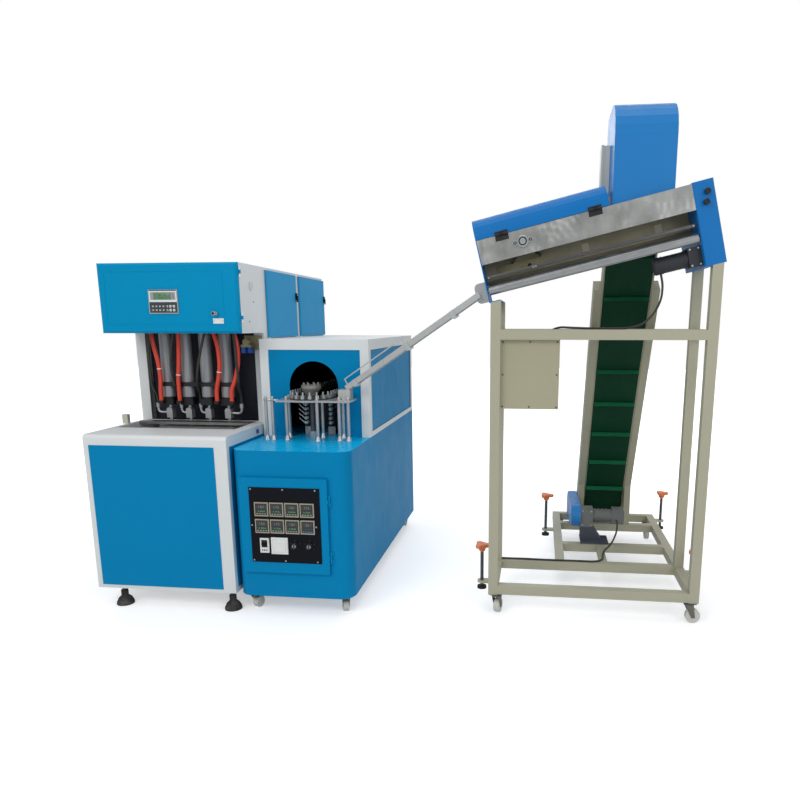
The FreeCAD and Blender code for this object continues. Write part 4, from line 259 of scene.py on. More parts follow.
def make_smudge():
    """Hand marks and wiped streaks, given as a roughness."""
    settings = {"Roughness": 0.3, "Spread": 0.1, "Scale": 7.0}
    group, takes, gives = shader_group("smudge", settings, ["Roughness"])
    broad = noise(group, takes["Vector"], takes["Scale"], 5.0, 0.6)
    streak = noise(group, stretched(group, takes["Vector"], (30.0, 30.0, 4.0)), 1.0, 3.0)
    both = ramp(group, calc(group, "MULTIPLY", broad, streak), 0.15, 0.42)
    added = calc(group, "MULTIPLY", both, takes["Spread"])
    group.links.new(calc(group, "ADD", takes["Roughness"], added), gives["Roughness"])
    return group


def make_peel():
    """The fine ripple of sprayed or powder-coated paint, as a height."""
    group, takes, gives = shader_group("orange peel", {"Scale": 420.0}, ["Height"])
    group.links.new(noise(group, takes["Vector"], takes["Scale"], 1.5), gives["Height"])
    return group


def make_brushing():
    """Fine parallel scratches; Stretch is short along them and long across them."""
    group, takes, gives = shader_group("brushing", {"Stretch": (4.0, 4.0, 900.0)}, ["Height", "Tone"])
    lines = noise(group, stretched(group, takes["Vector"], takes["Stretch"]), 1.0, 3.0, 0.6)
    group.links.new(lines, gives["Height"])
    group.links.new(ramp(group, lines, 0.3, 0.7), gives["Tone"])
    return group


def make_scuffs():
    """Sparse short scratches and chips, as a mask."""
    group, takes, gives = shader_group("scuffs", {"Amount": 0.3, "Scale": 14.0}, ["Mask"])
    bent = noise(group, takes["Vector"], takes["Scale"], 8.0, 0.75)
    lines = noise(group, stretched(group, takes["Vector"], (10.0, 60.0, 240.0)), 1.0, 2.0)
    spots = calc(group, "MULTIPLY", ramp(group, bent, 0.6, 0.68), ramp(group, lines, 0.52, 0.6))
    group.links.new(calc(group, "MULTIPLY", spots, takes["Amount"], True), gives["Mask"])
    return group


def make_region():
    """1 inside a box between two corners, 0 outside it."""
    group, takes, gives = shader_group("region", {"Low": (0, 0, 0), "High": (1, 1, 1)}, ["Mask"])
    spot, low, high = [axes(group, takes[label]) for label in ("Vector", "Low", "High")]
    mask = 1.0
    for axis in "XYZ":
        over = calc(group, "GREATER_THAN", spot[axis], low[axis])
        under = calc(group, "LESS_THAN", spot[axis], high[axis])
        mask = calc(group, "MULTIPLY", mask, calc(group, "MULTIPLY", over, under))
    group.links.new(mask, gives["Mask"])
    return group


def make_facing():
    """1 on faces that look one way, 0 on the rest."""
    group, takes, gives = shader_group("facing", {"Limit": 0.8}, ["Mask"])
    dot = vector_calc(group, "DOT_PRODUCT", normal_of(group), takes["Vector"])
    group.links.new(calc(group, "GREATER_THAN", dot, takes["Limit"]), gives["Mask"])
    return group


def make_swirl():
    """Arcs that a cloth or grinding pad leaves round one spot, as a mask."""
    group, takes, gives = shader_group("swirl", {"Centre": (0, 0, 0), "Scale": 190.0}, ["Mask"])
    reach = vector_calc(group, "DISTANCE", takes["Vector"], takes["Centre"])
    rings = calc(group, "SINE", calc(group, "MULTIPLY", reach, takes["Scale"]))
    patches = ramp(group, noise(group, takes["Vector"], 7.0, 4.0, 0.6), 0.46, 0.62)
    broken = ramp(group, noise(group, takes["Vector"], 26.0, 4.0, 0.7), 0.3, 0.7)
    strokes = calc(group, "MULTIPLY", ramp(group, rings, -1.0, 1.0), broken)
    group.links.new(calc(group, "MULTIPLY", strokes, patches, True), gives["Mask"])
    return group


EFFECTS = {"mottle": make_mottle(), "dust": make_dust(), "smudge": make_smudge(), "peel": make_peel(),
           "brushing": make_brushing(), "scuffs": make_scuffs(), "region": make_region(),
           "facing": make_facing(), "swirl": make_swirl()}


def use_effect(tree, effect, vector, **settings):
    node = tree.nodes.new("ShaderNodeGroup")
    node.node_tree = EFFECTS[effect]
    feed(tree, node, {"Vector": vector, **settings})
    return node.outputs


# ---------------------------------------------------------------- materials
# Each finish gives colour, roughness, metal and bump height; a material can use several,
# each in its own region of the piece.
def finish_channels(tree, vector, look):
    shade = use_effect(tree, "mottle", vector, Colour=look["colour"], Amount=look["mottle"],
                       Scale=look.get("mottle_scale", 3.0))["Colour"]
    if "brushing" in look:
        brushing = use_effect(tree, "brushing", vector, Stretch=look["brushing"])
        darker = tuple(channel * 0.72 for channel in look["colour"])
        shade = blend(tree, calc(tree, "MULTIPLY", brushing["Tone"], look["brush_depth"]), shade, darker)
        height = brushing["Height"]
    else:
        height = use_effect(tree, "peel", vector, Scale=look.get("peel", 420.0))["Height"]
    if look.get("scuffs"):
        scuffs = use_effect(tree, "scuffs", vector, Amount=look["scuffs"])
        shade = blend(tree, scuffs["Mask"], shade, look["under"])
    for centre in look.get("swirls", ()):
        swirl = use_effect(tree, "swirl", vector, Centre=centre)
        shade = blend(tree, calc(tree, "MULTIPLY", swirl["Mask"], 0.4), shade, (0.78, 0.78, 0.76))
    dusty = use_effect(tree, "dust", vector, Colour=shade, Amount=look.get("dust", 0.2),
                       Reach=look.get("dust_reach", 0.35))
    smudge = use_effect(tree, "smudge", vector, Roughness=look["roughness"], Spread=look.get("smudge", 0.12))
    roughness = blend(tree, dusty["Mask"], smudge["Roughness"], 0.8, "FLOAT")
    return dusty["Colour"], roughness, look.get("metal", 0.0), height


def new_material(name, look, regions=()):
    """look is the piece's main finish; regions are (low corner, high corner, other finish),
    square to the row frame or, with a fourth entry, to the sloping unscrambler."""
    material = bpy.data.materials.new(name)
    material.use_nodes = True
    tree = material.node_tree
    vector = object_place(tree)
    colour, roughness, metal, height = finish_channels(tree, vector, look)
    several_metals = any(region[2].get("metal", 0.0) != metal for region in regions)
    sloping = add_node(tree, "Mapping", {"Vector": vector, "Location": place(*SLOPE_START),
                                         "Rotation": (0.0, -TILT, 0.0)})
    sloping.vector_type = "TEXTURE"
    for low, high, other, *on_slope in regions:
        where = sloping.outputs["Vector"] if on_slope else vector
        mask = use_effect(tree, "region", where, Low=tuple(low), High=tuple(high))["Mask"]
        colour_b, roughness_b, metal_b, height_b = finish_channels(tree, vector, other)
        colour = blend(tree, mask, colour, colour_b)
        roughness = blend(tree, mask, roughness, roughness_b, "FLOAT")
        height = blend(tree, mask, height, height_b, "FLOAT")
        if several_metals:
            metal = blend(tree, mask, metal, metal_b, "FLOAT")
    # faces that look one way take a second finish: painted light or shade by the way they face
    if "facing" in look:
        way, limit, other = look["facing"]
        mask = use_effect(tree, "facing", way, Limit=limit)["Mask"]
        colour_b, roughness_b = finish_channels(tree, vector, other)[:2]
        colour = blend(tree, mask, colour, colour_b)
        roughness = blend(tree, mask, roughness, roughness_b, "FLOAT")
    bump = add_node(tree, "Bump", {"Strength": look.get("bump", 0.06), "Distance": 0.0006, "Height": height})
    values = {"Base Color": colour, "Roughness": roughness, "Metallic": metal,
              "Coat Weight": look.get("coat", 0.0), "Coat Roughness": 0.12,
              "Specular IOR Level": look.get("specular", 0.5), "Normal": bump.outputs["Normal"]}
    if "glow" in look:
        values.update({"Emission Color": look["glow"], "Emission Strength": look["glow_strength"]})
    feed(tree, tree.nodes["Principled BSDF"], values)
    return material


# ---------------------------------------------------------------- finishes
def srgb(red, green, blue):
    """A colour read as 0-255 screen values, given as linear light."""
    def linear(value):
        share = value / 255.0
        return share / 12.92 if share <= 0.04045 else ((share + 0.055) / 1.055) ** 2.4
    return (linear(red), linear(green), linear(blue))


def surface(red, green, blue, roughness, mottle, **more):
    return {"colour": srgb(red, green, blue), "roughness": roughness, "mottle": mottle, **more}


def retint(look, red, green, blue, **more):
    return {**look, "colour": srgb(red, green, blue), **more}


MACHINE_BLUE = surface(0, 131, 183, 0.36, 0.05, smudge=0.1, mottle_scale=1.4, dust=0.03, dust_reach=0.2,
                       specular=0.07, under=(0.0, 0.26, 0.4), scuffs=0.04)
# painted light: a lighter copy of the machine blue for faces that look up; its lower roughness is a real
# glossier top
PAINTED_LIGHT_TOP_BLUE = retint(MACHINE_BLUE, 12, 176, 232, roughness=0.24, scuffs=0.0, dust=0.0)
CABINET_GREY = surface(222, 225, 224, 0.42, 0.035, smudge=0.14, dust=0.22, scuffs=0.1,
                       under=(0.32, 0.33, 0.33), coat=0.06)
# painted shade: a darker copy of the cabinet grey for the tower's inner faces
PAINTED_SHADE_GREY = retint(CABINET_GREY, 168, 172, 172)
# painted shade: a near-black navy for inner faces and back walls that lie in shade
PAINTED_SHADE_DARK = surface(17, 19, 38, 0.62, 0.25, mottle_scale=6.0, dust=0.1)
LOADER_BLUE = surface(6, 112, 184, 0.34, 0.06, smudge=0.12, dust=0.05, specular=0.24, scuffs=0.06,
                      under=(0.3, 0.42, 0.55))
FRAME_CREAM = surface(174, 171, 148, 0.45, 0.04, smudge=0.12, dust=0.22, scuffs=0.2,
                      under=(0.32, 0.3, 0.25), coat=0.06)
TERMINAL_SHEET = retint(FRAME_CREAM, 170, 165, 138, roughness=0.38)
CHANNEL_CREAM = retint(FRAME_CREAM, 168, 165, 142)
TROUGH_BEIGE = surface(166, 160, 134, 0.3, 0.34, mottle_scale=9.0, metal=0.2, dust=0.1)
BRACKET_CREAM = surface(206, 200, 176, 0.4, 0.05)
STAINLESS = surface(164, 165, 161, 0.3, 0.55, smudge=0.3, mottle_scale=9.0, metal=0.7,
                    brushing=(6.0, 300.0, 500.0), brush_depth=0.25, bump=0.05, dust=0.1, scuffs=0.8,
                    under=(0.16, 0.155, 0.14))
BRIGHT_STEEL = surface(186, 188, 188, 0.26, 0.08, smudge=0.14, metal=0.7, brushing=(60.0, 60.0, 700.0),
                       brush_depth=0.25, dust=0.06)
MACHINED_STEEL = surface(148, 148, 146, 0.34, 0.08, smudge=0.14, metal=0.85, brushing=(60.0, 60.0, 700.0),
                         brush_depth=0.35, dust=0.1)
TURNED_STEEL = surface(168, 170, 170, 0.3, 0.16, smudge=0.16, mottle_scale=14.0, metal=0.8,
                       brushing=(900.0, 60.0, 60.0), brush_depth=0.4, dust=0.06)
OILED_STEEL = surface(66, 68, 72, 0.34, 0.16, mottle_scale=12.0, metal=0.7, dust=0.12)
DARK_STEEL = surface(88, 88, 88, 0.4, 0.16, mottle_scale=14.0, metal=0.6, dust=0.1)
GREY_ALUMINIUM = surface(158, 161, 164, 0.38, 0.05, smudge=0.1, metal=0.45, brushing=(500.0, 500.0, 5.0),
                         brush_depth=0.2, dust=0.05)
MOULD_ALUMINIUM = surface(190, 192, 194, 0.28, 0.05, metal=0.85, brushing=(5.0, 500.0, 500.0),
                          brush_depth=0.25)
BLACK_ANODISED = surface(30, 30, 33, 0.42, 0.1, metal=0.2, dust=0.08)
BLACK_PLASTIC = surface(26, 27, 30, 0.48, 0.08, peel=900.0, bump=0.12, dust=0.1)
SLATE = retint(BLACK_PLASTIC, 48, 56, 62)
BLACK_RUBBER = surface(32, 31, 31, 0.7, 0.12, peel=700.0, bump=0.15, dust=0.3, dust_reach=0.12)
NYLON = surface(206, 206, 196, 0.42, 0.08, mottle_scale=16.0, dust=0.3, dust_reach=0.08)
BLACK_PLATE = surface(9, 11, 20, 0.4, 0.06, dust=0.0, specular=0.15)
RED_HOSE = surface(222, 66, 42, 0.34, 0.08, mottle_scale=20.0, coat=0.15)
BLACK_HOSE = surface(44, 44, 40, 0.4, 0.1, mottle_scale=20.0, coat=0.08)
VALVE_BEIGE = surface(152, 148, 112, 0.42, 0.16, mottle_scale=26.0, metal=0.3)
COIL_BLUE = surface(34, 84, 170, 0.4, 0.05)
ORANGE_PLASTIC = surface(226, 122, 66, 0.36, 0.06, coat=0.15, dust=0.1)
BELT_GREEN = surface(2, 56, 33, 0.5, 0.16, specular=0.18, smudge=0.2, mottle_scale=5.0, peel=500.0,
                     bump=0.12, dust=0.0, scuffs=0.08, under=(0.02, 0.12, 0.07))
# painted highlight: a lighter green for belt faces that look up and out
CLEAT_HIGHLIGHT_GREEN = retint(BELT_GREEN, 34, 118, 78, roughness=0.4)
MOTOR_GREY = surface(112, 115, 113, 0.44, 0.06, peel=300.0, bump=0.2, dust=0.12)
MOTOR_DARK = surface(36, 39, 44, 0.46, 0.06, peel=300.0, bump=0.2, dust=0.08)
PANEL_GREY = surface(206, 212, 210, 0.42, 0.04)
INSTRUMENT_BEIGE = surface(168, 162, 142, 0.44, 0.04)
WHITE_PLASTIC = surface(226, 228, 224, 0.36, 0.03, coat=0.1)
CERAMIC = surface(236, 234, 226, 0.5, 0.04)
LAMP_GLASS = surface(232, 228, 218, 0.14, 0.02, coat=0.6)
DISPLAY_GREEN = surface(92, 134, 92, 0.2, 0.03, coat=0.4)
DISPLAY_DARK = surface(46, 50, 50, 0.16, 0.02, coat=0.4)
FIGURE_DARK = surface(24, 46, 30, 0.4, 0.02)
FIGURE_GREEN = surface(40, 150, 80, 0.4, 0.02, glow=srgb(60, 210, 110), glow_strength=0.22)
FIGURE_RED = surface(190, 52, 44, 0.4, 0.02, glow=srgb(230, 60, 44), glow_strength=0.35)
FACE_DARK = surface(38, 40, 42, 0.38, 0.05, dust=0.05)
KEY_GREY = surface(150, 152, 148, 0.5, 0.04)
KEY_BLUE = surface(70, 120, 176, 0.5, 0.04)
HUB_CAST = surface(138, 138, 132, 0.42, 0.2, mottle_scale=16.0, metal=0.3, dust=0.1)
WEAR_CREAM = surface(176, 166, 122, 0.42, 0.3, mottle_scale=14.0, dust=0.2)


# ---------------------------------------------------------------- finishes of the carried-over parts
def dress(name, look, *areas):
    mesh = nodes[name].data
    mesh.materials.clear()
    mesh.materials.append(new_material(name.replace("_", " ") + " finish", look, areas))


def area(x0, x1, y0, y1, z0, z1, look):
    """Where one more finish shows."""
    return (place(x0, y0, z0), place(x1, y1, z1), look)


def slope_area(s0, s1, y0, y1, n0, n1, look):
    """The same, square to the unscrambler: along the slope, across it, and up from it."""
    return (Vector((s0, y0, n0)) / 1000.0, Vector((s1, y1, n1)) / 1000.0, look, "sloping")


PLAIN = (
    (CABINET_GREY, "head_shell"),
    (MACHINE_BLUE, "blower_panels panel_door oven_front"),
    (BRIGHT_STEEL, "door_lock nozzle_blocks guide_plate guide_supports preform_holders stretch_rod_1 "
                   "stretch_rod_2 stretch_rod_3 stretch_rod_4"),
    (RED_HOSE, "red_hoses"),
    (BLACK_HOSE, "black_hoses motor_cables"),
    (MACHINED_STEEL, "mould_bed"),
    (MOULD_ALUMINIUM, "mould_front mould_back"),
    (OILED_STEEL, "chain_band"),
    (DARK_STEEL, "oven_wheel_rear"),
    (BLACK_PLASTIC, "paddle_wheel"),
    (CHANNEL_CREAM, "elevator_frame"),
    (TURNED_STEEL, "roller_front roller_rear head_pulley tail_pulley"),
    (NYLON, "caster_wheel_left caster_wheel_right"))
for look, names in PLAIN:
    for name in names.split():
        dress(name, look)
# painted shade: the cabinet's inside behind the cylinders is painted near-black
dress("blower_cabinet", CABINET_GREY,
      area(30.5, 729.5, 255.5, 699.5, 560.5, 959, PAINTED_SHADE_DARK))
# painted shade: the tower's inner faces get a darker grey, and its back wall behind the cylinders a
# near-black navy
dress("blower_tower", CABINET_GREY,
      area(4.5, 795.5, 571, 1690, 963, 1858, PAINTED_SHADE_GREY),
      area(59.6, 740.4, 570.6, 622, 900, 1500, PAINTED_SHADE_DARK))
# painted light: the control door gets a lighter copy of the machine blue
dress("control_door", retint(MACHINE_BLUE, 0, 142, 190))
dress("operator_panel", retint(PANEL_GREY, 150, 160, 162),
      area(298.5, 455.5, 240, 253.5, 1653, 1710, retint(PANEL_GREY, 222, 228, 226)),
      area(298.5, 455.5, 240, 252.3, 1596, 1652, SLATE),
      area(300, 454, 240, 252.3, 1712, 1716, BLACK_PLASTIC),
      area(300, 400, 240, 251.6, 1599, 1641, MOTOR_GREY),
      area(400, 454, 240, 251.6, 1599, 1641, WHITE_PLASTIC))
# painted light: the side doors get a lighter, paler copy of the machine blue
for door in ("side_door_front", "side_door_rear"):
    dress(door, retint(MACHINE_BLUE, 50, 152, 202),
          area(815.0, 850, 600, 1700, 1640, 1780, BLACK_PLASTIC))
dress("stretch_cylinders", GREY_ALUMINIUM,
      area(0, 800, 400, 600, 1066, 1116, BLACK_ANODISED),
      area(0, 800, 400, 600, 1177.5, 1202.5, BLACK_ANODISED),
      area(0, 800, 400, 600, 1788, 1830, CABINET_GREY))
dress("valves_and_sensors", VALVE_BEIGE,
      area(-30, 820, 380, 460, 1550, 1600, GREY_ALUMINIUM),
      area(-30, 20, 380, 430, 960, 1030, retint(PANEL_GREY, 196, 192, 176)),
      area(799, 820, 380, 430, 900, 960, COIL_BLUE),
      area(660, 780, 500, 561.9, 1360, 1403.9, COIL_BLUE))
# painted light: faces of the heater cabinet that look up are painted a lighter blue
dress("heater_cabinet", {**MACHINE_BLUE, "facing": ((0.0, 0.0, 1.0), 0.9, PAINTED_LIGHT_TOP_BLUE)})
dress("control_plate", BLACK_PLATE,
      area(940, 1266, -28, -21.3, 458, 628, INSTRUMENT_BEIGE),
      area(963, 1015, -31, -21.3, 352, 433, WHITE_PLASTIC),
      area(1023, 1116, -31, -21.3, 345, 438, WHITE_PLASTIC))
for knob in ("selector_knob_left", "selector_knob_right"):
    dress(knob, retint(BLACK_PLASTIC, 58, 60, 62))
# painted shade: the oven frame's inner faces are painted near-black
dress("oven_frame", CABINET_GREY,
      area(813.5, 1446.5, 480, 1768, 895, 1449, PAINTED_SHADE_DARK))
# painted shade: the oven panels' inner faces are painted near-black
dress("oven_panels", MACHINE_BLUE,
      area(818.5, 1441.5, 476, 1763.5, 896, 1440, PAINTED_SHADE_DARK))
dress("oven_wheel_front", DARK_STEEL,
      area(1040, 1204, 350, 510, 1146, 1230, HUB_CAST))
# painted shade: a near-black strip behind the lamps
dress("lamp_banks", retint(GREY_ALUMINIUM, 190, 190, 186),
      area(982, 1262, 559.8, 563.4, 940, 1110, PAINTED_SHADE_DARK),
      area(982, 1058, 562, 1418, 940, 1100, LAMP_GLASS),
      area(1186, 1262, 562, 1418, 940, 1100, LAMP_GLASS),
      area(982, 1262, 530, 560, 940, 1100, CERAMIC))
dress("loader_frame", FRAME_CREAM,
      area(2209, 2506, 149, 154, 1110, 1459.5, TERMINAL_SHEET))
dress("unscrambler_body", LOADER_BLUE,
      slope_area(5.2, 1029.8, 296.0, 303.5, 113, 299, TROUGH_BEIGE),
      slope_area(5.2, 1029.8, 250.0, 303.5, 88, 114, TROUGH_BEIGE),
      slope_area(490, 910, 294.0, 299.6, 117, 180, BRACKET_CREAM),
      slope_area(1040, 1120, 60.0, 119.6, 150, 320, BLACK_PLASTIC))
dress("side_plate", {**STAINLESS, "swirls": [tuple(incline(330, 120, 180)), tuple(incline(640, 120, 330))]},
      slope_area(90, 170, 100.0, 123.6, 270, 310, BLACK_ANODISED),
      slope_area(545, 625, 100.0, 123.6, 270, 310, BLACK_ANODISED),
      slope_area(165, 280, 100.0, 123.6, 205, 268, BRIGHT_STEEL))
dress("unscrambler_cover", LOADER_BLUE,
      slope_area(90, 170, 100.0, 123.7, 290, 330, BLACK_ANODISED),
      slope_area(545, 625, 100.0, 123.7, 290, 330, BLACK_ANODISED))
# painted light: the hopper tower gets a lighter copy of the loader blue
dress("hopper_tower", retint(LOADER_BLUE, 34, 124, 192),
      area(2600, 2729.5, 300, 500, 2100, 2500, retint(CABINET_GREY, 210, 208, 196)))
dress("gear_motors", MOTOR_GREY,
      area(2600, 2691.5, 900, 1650, 100, 600, retint(LOADER_BLUE, 26, 124, 196, dust=0.02)),
      area(2900, 3300, 0, 400, 1500, 2200, MOTOR_DARK),
      area(2691.5, 2960, 860, 1060, 170, 256.5, retint(MOTOR_DARK, 70, 76, 88)))
# painted highlight: belt faces that look up and out, the cleats' tops, are painted a lighter green
dress("elevator_belt", {**BELT_GREEN, "facing": (BELT_UP, 0.7, CLEAT_HIGHLIGHT_GREEN)})
dress("chute", retint(BRIGHT_STEEL, 196, 198, 196, metal=0.5))
MARGIN = Vector((0.01, 0.01, 0.01))
KNOB_DEPTH, PAD_HEIGHT = 0.046, 0.0145  # parts of a jack that are not of steel
for jack in JACKS:
    low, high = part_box(jack)
    knob_low = Vector((low.x - 0.01, low.y - 0.01, high.z - KNOB_DEPTH))
    pad_high = Vector((high.x + 0.01, high.y + 0.01, low.z + PAD_HEIGHT))
    dress(jack, DARK_STEEL, (knob_low, high + MARGIN, ORANGE_PLASTIC),
          (low - MARGIN, pad_high, BLACK_RUBBER))
for side in ("left", "right"):
    dress("caster_fork_" + side, retint(DARK_STEEL, 116, 114, 104))
dress("casters_and_feet", DARK_STEEL,
      area(820, 3400, -50, 1900, -5, 63, NYLON),
      area(-10, 815, -30, 1800, -5, 80.5, BLACK_RUBBER))

# ---------------------------------------------------------------- modelling tools
FACE_SELECT = (False, False, True)
SMOOTH_ANGLE = math.radians(32)
finishes = {}


def finish(label, look):
    """One material for each finish that small pieces share."""
    if label not in finishes:
        finishes[label] = new_material(label, look)
    return finishes[label]


def let_go():
    bpy.ops.object.select_all(action="DESELECT")


def take(name):
    """Name the piece just made and settle it at the origin."""
    piece = bpy.context.object
    piece.name = name
    piece.data.name = name
    bpy.ops.object.transform_apply(location=True, rotation=True, scale=True)
    return piece


def hold(piece):
    let_go()
    piece.select_set(True)
    bpy.context.view_layer.objects.active = piece


def pick(piece, wanted):
    """Open the mesh with the faces chosen that pass the test of centre and normal."""
    hold(piece)
    for group in (piece.data.vertices, piece.data.edges):
        for item in group:
            item.select = False
    for polygon in piece.data.polygons:
        polygon.select = wanted(polygon.center, polygon.normal)
    bpy.context.tool_settings.mesh_select_mode = FACE_SELECT
    bpy.ops.object.mode_set(mode="EDIT")


def leave():
    bpy.ops.object.mode_set(mode="OBJECT")


def round_off(piece, width):
    """Round every sharp edge and shade the rest by angle."""
    hold(piece)
    bevel = piece.modifiers.new("edges", "BEVEL")
    bevel.width = mm(width)
    bevel.segments = 2
    bevel.limit_method = "ANGLE"
    bevel.angle_limit = math.radians(40)
    bpy.ops.object.modifier_apply(modifier=bevel.name)
    bpy.ops.object.shade_smooth_by_angle(angle=SMOOTH_ANGLE)


def block(name, x, y, z, bevel, paint, rim=None, facing=NEAR_SIDE):
    """A block between (low, high) spans in mm; rim insets the face that looks one way, then
    sinks or raises what is inside it."""
    low, high = place(x[0], y[0], z[0]), place(x[1], y[1], z[1])
    let_go()
    bpy.ops.mesh.primitive_cube_add(size=1.0, location=(low + high) / 2)
    bpy.context.object.scale = high - low
    piece = take(name)
    if rim:
        pick(piece, lambda centre, normal: normal.dot(facing) > 0.9)
        bpy.ops.mesh.inset(thickness=mm(rim[0]), depth=0.0)
        bpy.ops.mesh.extrude_region_move(TRANSFORM_OT_translate={"value": facing * mm(rim[1])})
        leave()
    round_off(piece, bevel)
    piece.data.materials.append(paint)
    return piece


def turned(name, centre, way, profile, paint, sides):
    """A disc carried along its axis through (radius, height) steps in mm."""
    let_go()
    bpy.ops.mesh.primitive_circle_add(vertices=sides, radius=mm(profile[0][0]), fill_type="NGON")
    piece = bpy.context.object
    pick(piece, lambda centre, normal: True)
    rise = 0.0
    for (last_radius, last_height), (radius, height) in zip(profile, profile[1:]):
        step_up = mm(height - last_height)
        rise += step_up
        share = radius / last_radius
        bpy.ops.mesh.extrude_region_move(TRANSFORM_OT_translate={"value": (0.0, 0.0, step_up)})
        bpy.ops.transform.resize(value=(share, share, 1.0), center_override=(0.0, 0.0, rise))
    bpy.ops.mesh.select_all(action="SELECT")
    bpy.ops.mesh.normals_make_consistent(inside=False)
    leave()
    piece.rotation_euler = Vector(way).to_track_quat("Z", "Y").to_euler()
    piece.location = centre
    piece = take(name)
    hold(piece)
    bpy.ops.object.shade_smooth_by_angle(angle=SMOOTH_ANGLE)
    piece.data.materials.append(paint)
    return piece


def joined(name, pieces):
    let_go()
    for piece in pieces:
        piece.select_set(True)
    bpy.context.view_layer.objects.active = pieces[0]
    if len(pieces) > 1:
        bpy.ops.object.join()
    return take(name)


def spread(master, name, spots):
    """Own-mesh copies of a piece modelled at the origin, facing up, joined into one piece;
    a spot is (place, way its top faces)."""
    made = []
    for spot, way in spots:
        twin = master.copy()
        twin.data = master.data.copy()
        bpy.context.scene.collection.objects.link(twin)
        twin.matrix_world = Matrix.LocRotScale(spot, Vector(way).to_track_quat("Z", "Y"), None)
        made.append(twin)
    bpy.data.objects.remove(master)
    let_go()
    for twin in made:
        twin.select_set(True)
    bpy.context.view_layer.objects.active = made[0]
    bpy.ops.object.transform_apply(location=True, rotation=True, scale=True)
    return joined(name, made)


def figures(name, text, height, centre, paint, widen=1.0):
    """Figures of a display, thin and facing the front."""
    let_go()
    bpy.ops.object.text_add(location=(0.0, 0.0, 0.0))
    writing = bpy.context.object
    writing.data.body = text
    writing.data.size = mm(height) * 1.38
    writing.data.extrude = mm(0.1)
    writing.data.resolution_u = 2
    writing.data.align_x = "CENTER"
    writing.data.align_y = "CENTER"
    bpy.ops.object.convert(target="MESH")
    piece = bpy.context.object
    piece.rotation_euler = (math.pi / 2, 0.0, 0.0)
    piece.scale = (widen, 1.0, 1.0)
    piece.location = centre
    piece = take(name)
    piece.data.materials.append(paint)
    return piece


def fit(piece, body):
    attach(piece, body)
    return piece


def upright(name, profile, paint, sides=12):
    """A turned piece at the origin, its top facing up, to be spread."""
    return turned(name, (0, 0, 0), (0, 0, 1), profile, paint, sides)


def pan_screw(name, radius, paint):
    """A pan-head screw with a recess."""
    return upright(name, [(radius, -0.4), (radius, radius * 0.22), (radius * 0.82, radius * 0.48),
                          (radius * 0.5, radius * 0.56), (radius * 0.42, radius * 0.2)], paint)


# ---------------------------------------------------------------- operator panel
panel_dark = finish("panel frame", retint(PANEL_GREY, 120, 126, 124))
display_green = finish("green display", DISPLAY_GREEN)
figure_dark = finish("display figures", FIGURE_DARK)
lens_red = finish("red lens", FIGURE_RED)
white_plastic = finish("white plastic", WHITE_PLASTIC)
screen_parts = [
    block("screen_frame", (323, 421), (251.4, 253.4), (1666.5, 1701.5), 0.8, panel_dark, (3.2, -1.2)),
    block("screen_glass", (326.6, 417.4), (252.0, 252.9), (1670, 1698), 0.3, display_green, (2.0, 0.15)),
    figures("screen_upper", "180  175", 8.5, place(372, 251.8, 1690), figure_dark, 1.15),
    figures("screen_lower", "24  60  12", 7.0, place(372, 251.8, 1677), figure_dark, 1.1)]
for step in range(3):
    screen_parts.append(turned("screen_lens", place(435, 253.1, 1674 + 10 * step), NEAR_SIDE,
                               [(3.4, 0), (3.4, 1.0), (2.6, 1.7), (1.2, 2.0)],
                               lens_red if step == 2 else panel_dark, 16))
fit(joined("operator_screen", screen_parts), "control_door")
key_marks = []
for column in range(7):
    for level in (1610, 1630):
        middle = 317 + 20 * column
        key_marks.append(block("key_mark", (middle - 4.4, middle + 4.4), (250.15, 250.6),
                               (level - 1.6, level + 1.6), 0.15, white_plastic if column < 4 else panel_dark))
fit(joined("operator_key_marks", key_marks), "control_door")
steel_paint = finish("screw steel", BRIGHT_STEEL)
plaque = block("plaque_plate", (651, 711), (256.6, 258.05), (1538, 1566), 0.5, white_plastic, (2.0, -0.3))
pins = spread(pan_screw("plaque_pin", 1.8, steel_paint), "plaque_pins",
              [(place(x, 256.6, 1552), NEAR_SIDE) for x in (655.5, 706.5)])
fit(joined("blank_plaque", [plaque, pins]), "control_door")

# ---------------------------------------------------------------- heater controllers
face_dark = finish("instrument face", FACE_DARK)
display_dark = finish("dark display", DISPLAY_DARK)
figure_green = finish("green figures", FIGURE_GREEN)
figure_pale = finish("pale figures", retint(KEY_GREY, 120, 124, 120))
key_grey = finish("grey keys", KEY_GREY)
key_blue = finish("blue keys", KEY_BLUE)
for row, low_z in enumerate((460, 551)):
    for column in range(4):
        left = 943 + 82 * column
        inner = (left + 10, left + 65)
        last = row == 0 and column == 3
        top_figures, low_figures = ("24", "60") if last else (("180", "180"), ("175", "175"))[column % 2]
        parts = [
            block("controller_case", (left + 6, left + 69), (-28.6, -26.8), (low_z + 7, low_z + 69), 1.0,
                  face_dark, (2.0, -0.6)),
            block("controller_window", inner, (-28.9, -27.6), (low_z + 36, low_z + 65), 0.5,
                  display_dark, (1.6, -0.4)),
            figures("controller_value", top_figures, 14.0, place(left + 37.5, -28.7, low_z + 50.5),
                    figure_pale, 1.1),
            block("controller_band", inner, (-28.9, -27.6), (low_z + (21 if last else 20), low_z + 34), 0.5,
                  display_dark, (1.2, -0.4))]
        if not last:
            parts.append(figures("controller_set", low_figures, 7.5, place(left + 37.5, -28.7, low_z + 27),
                                 figure_green, 2.7))
        for key in range(4):
            middle = left + 16 + 14.4 * key
            parts.append(block("controller_key", (middle - 4.6, middle + 4.6), (-29.2, -27.6),
                               (low_z + 11, low_z + 17), 0.6, key_blue if last else key_grey))
        fit(joined("controller_%d_%d" % (row + 1, column + 1), parts), "panel_door")

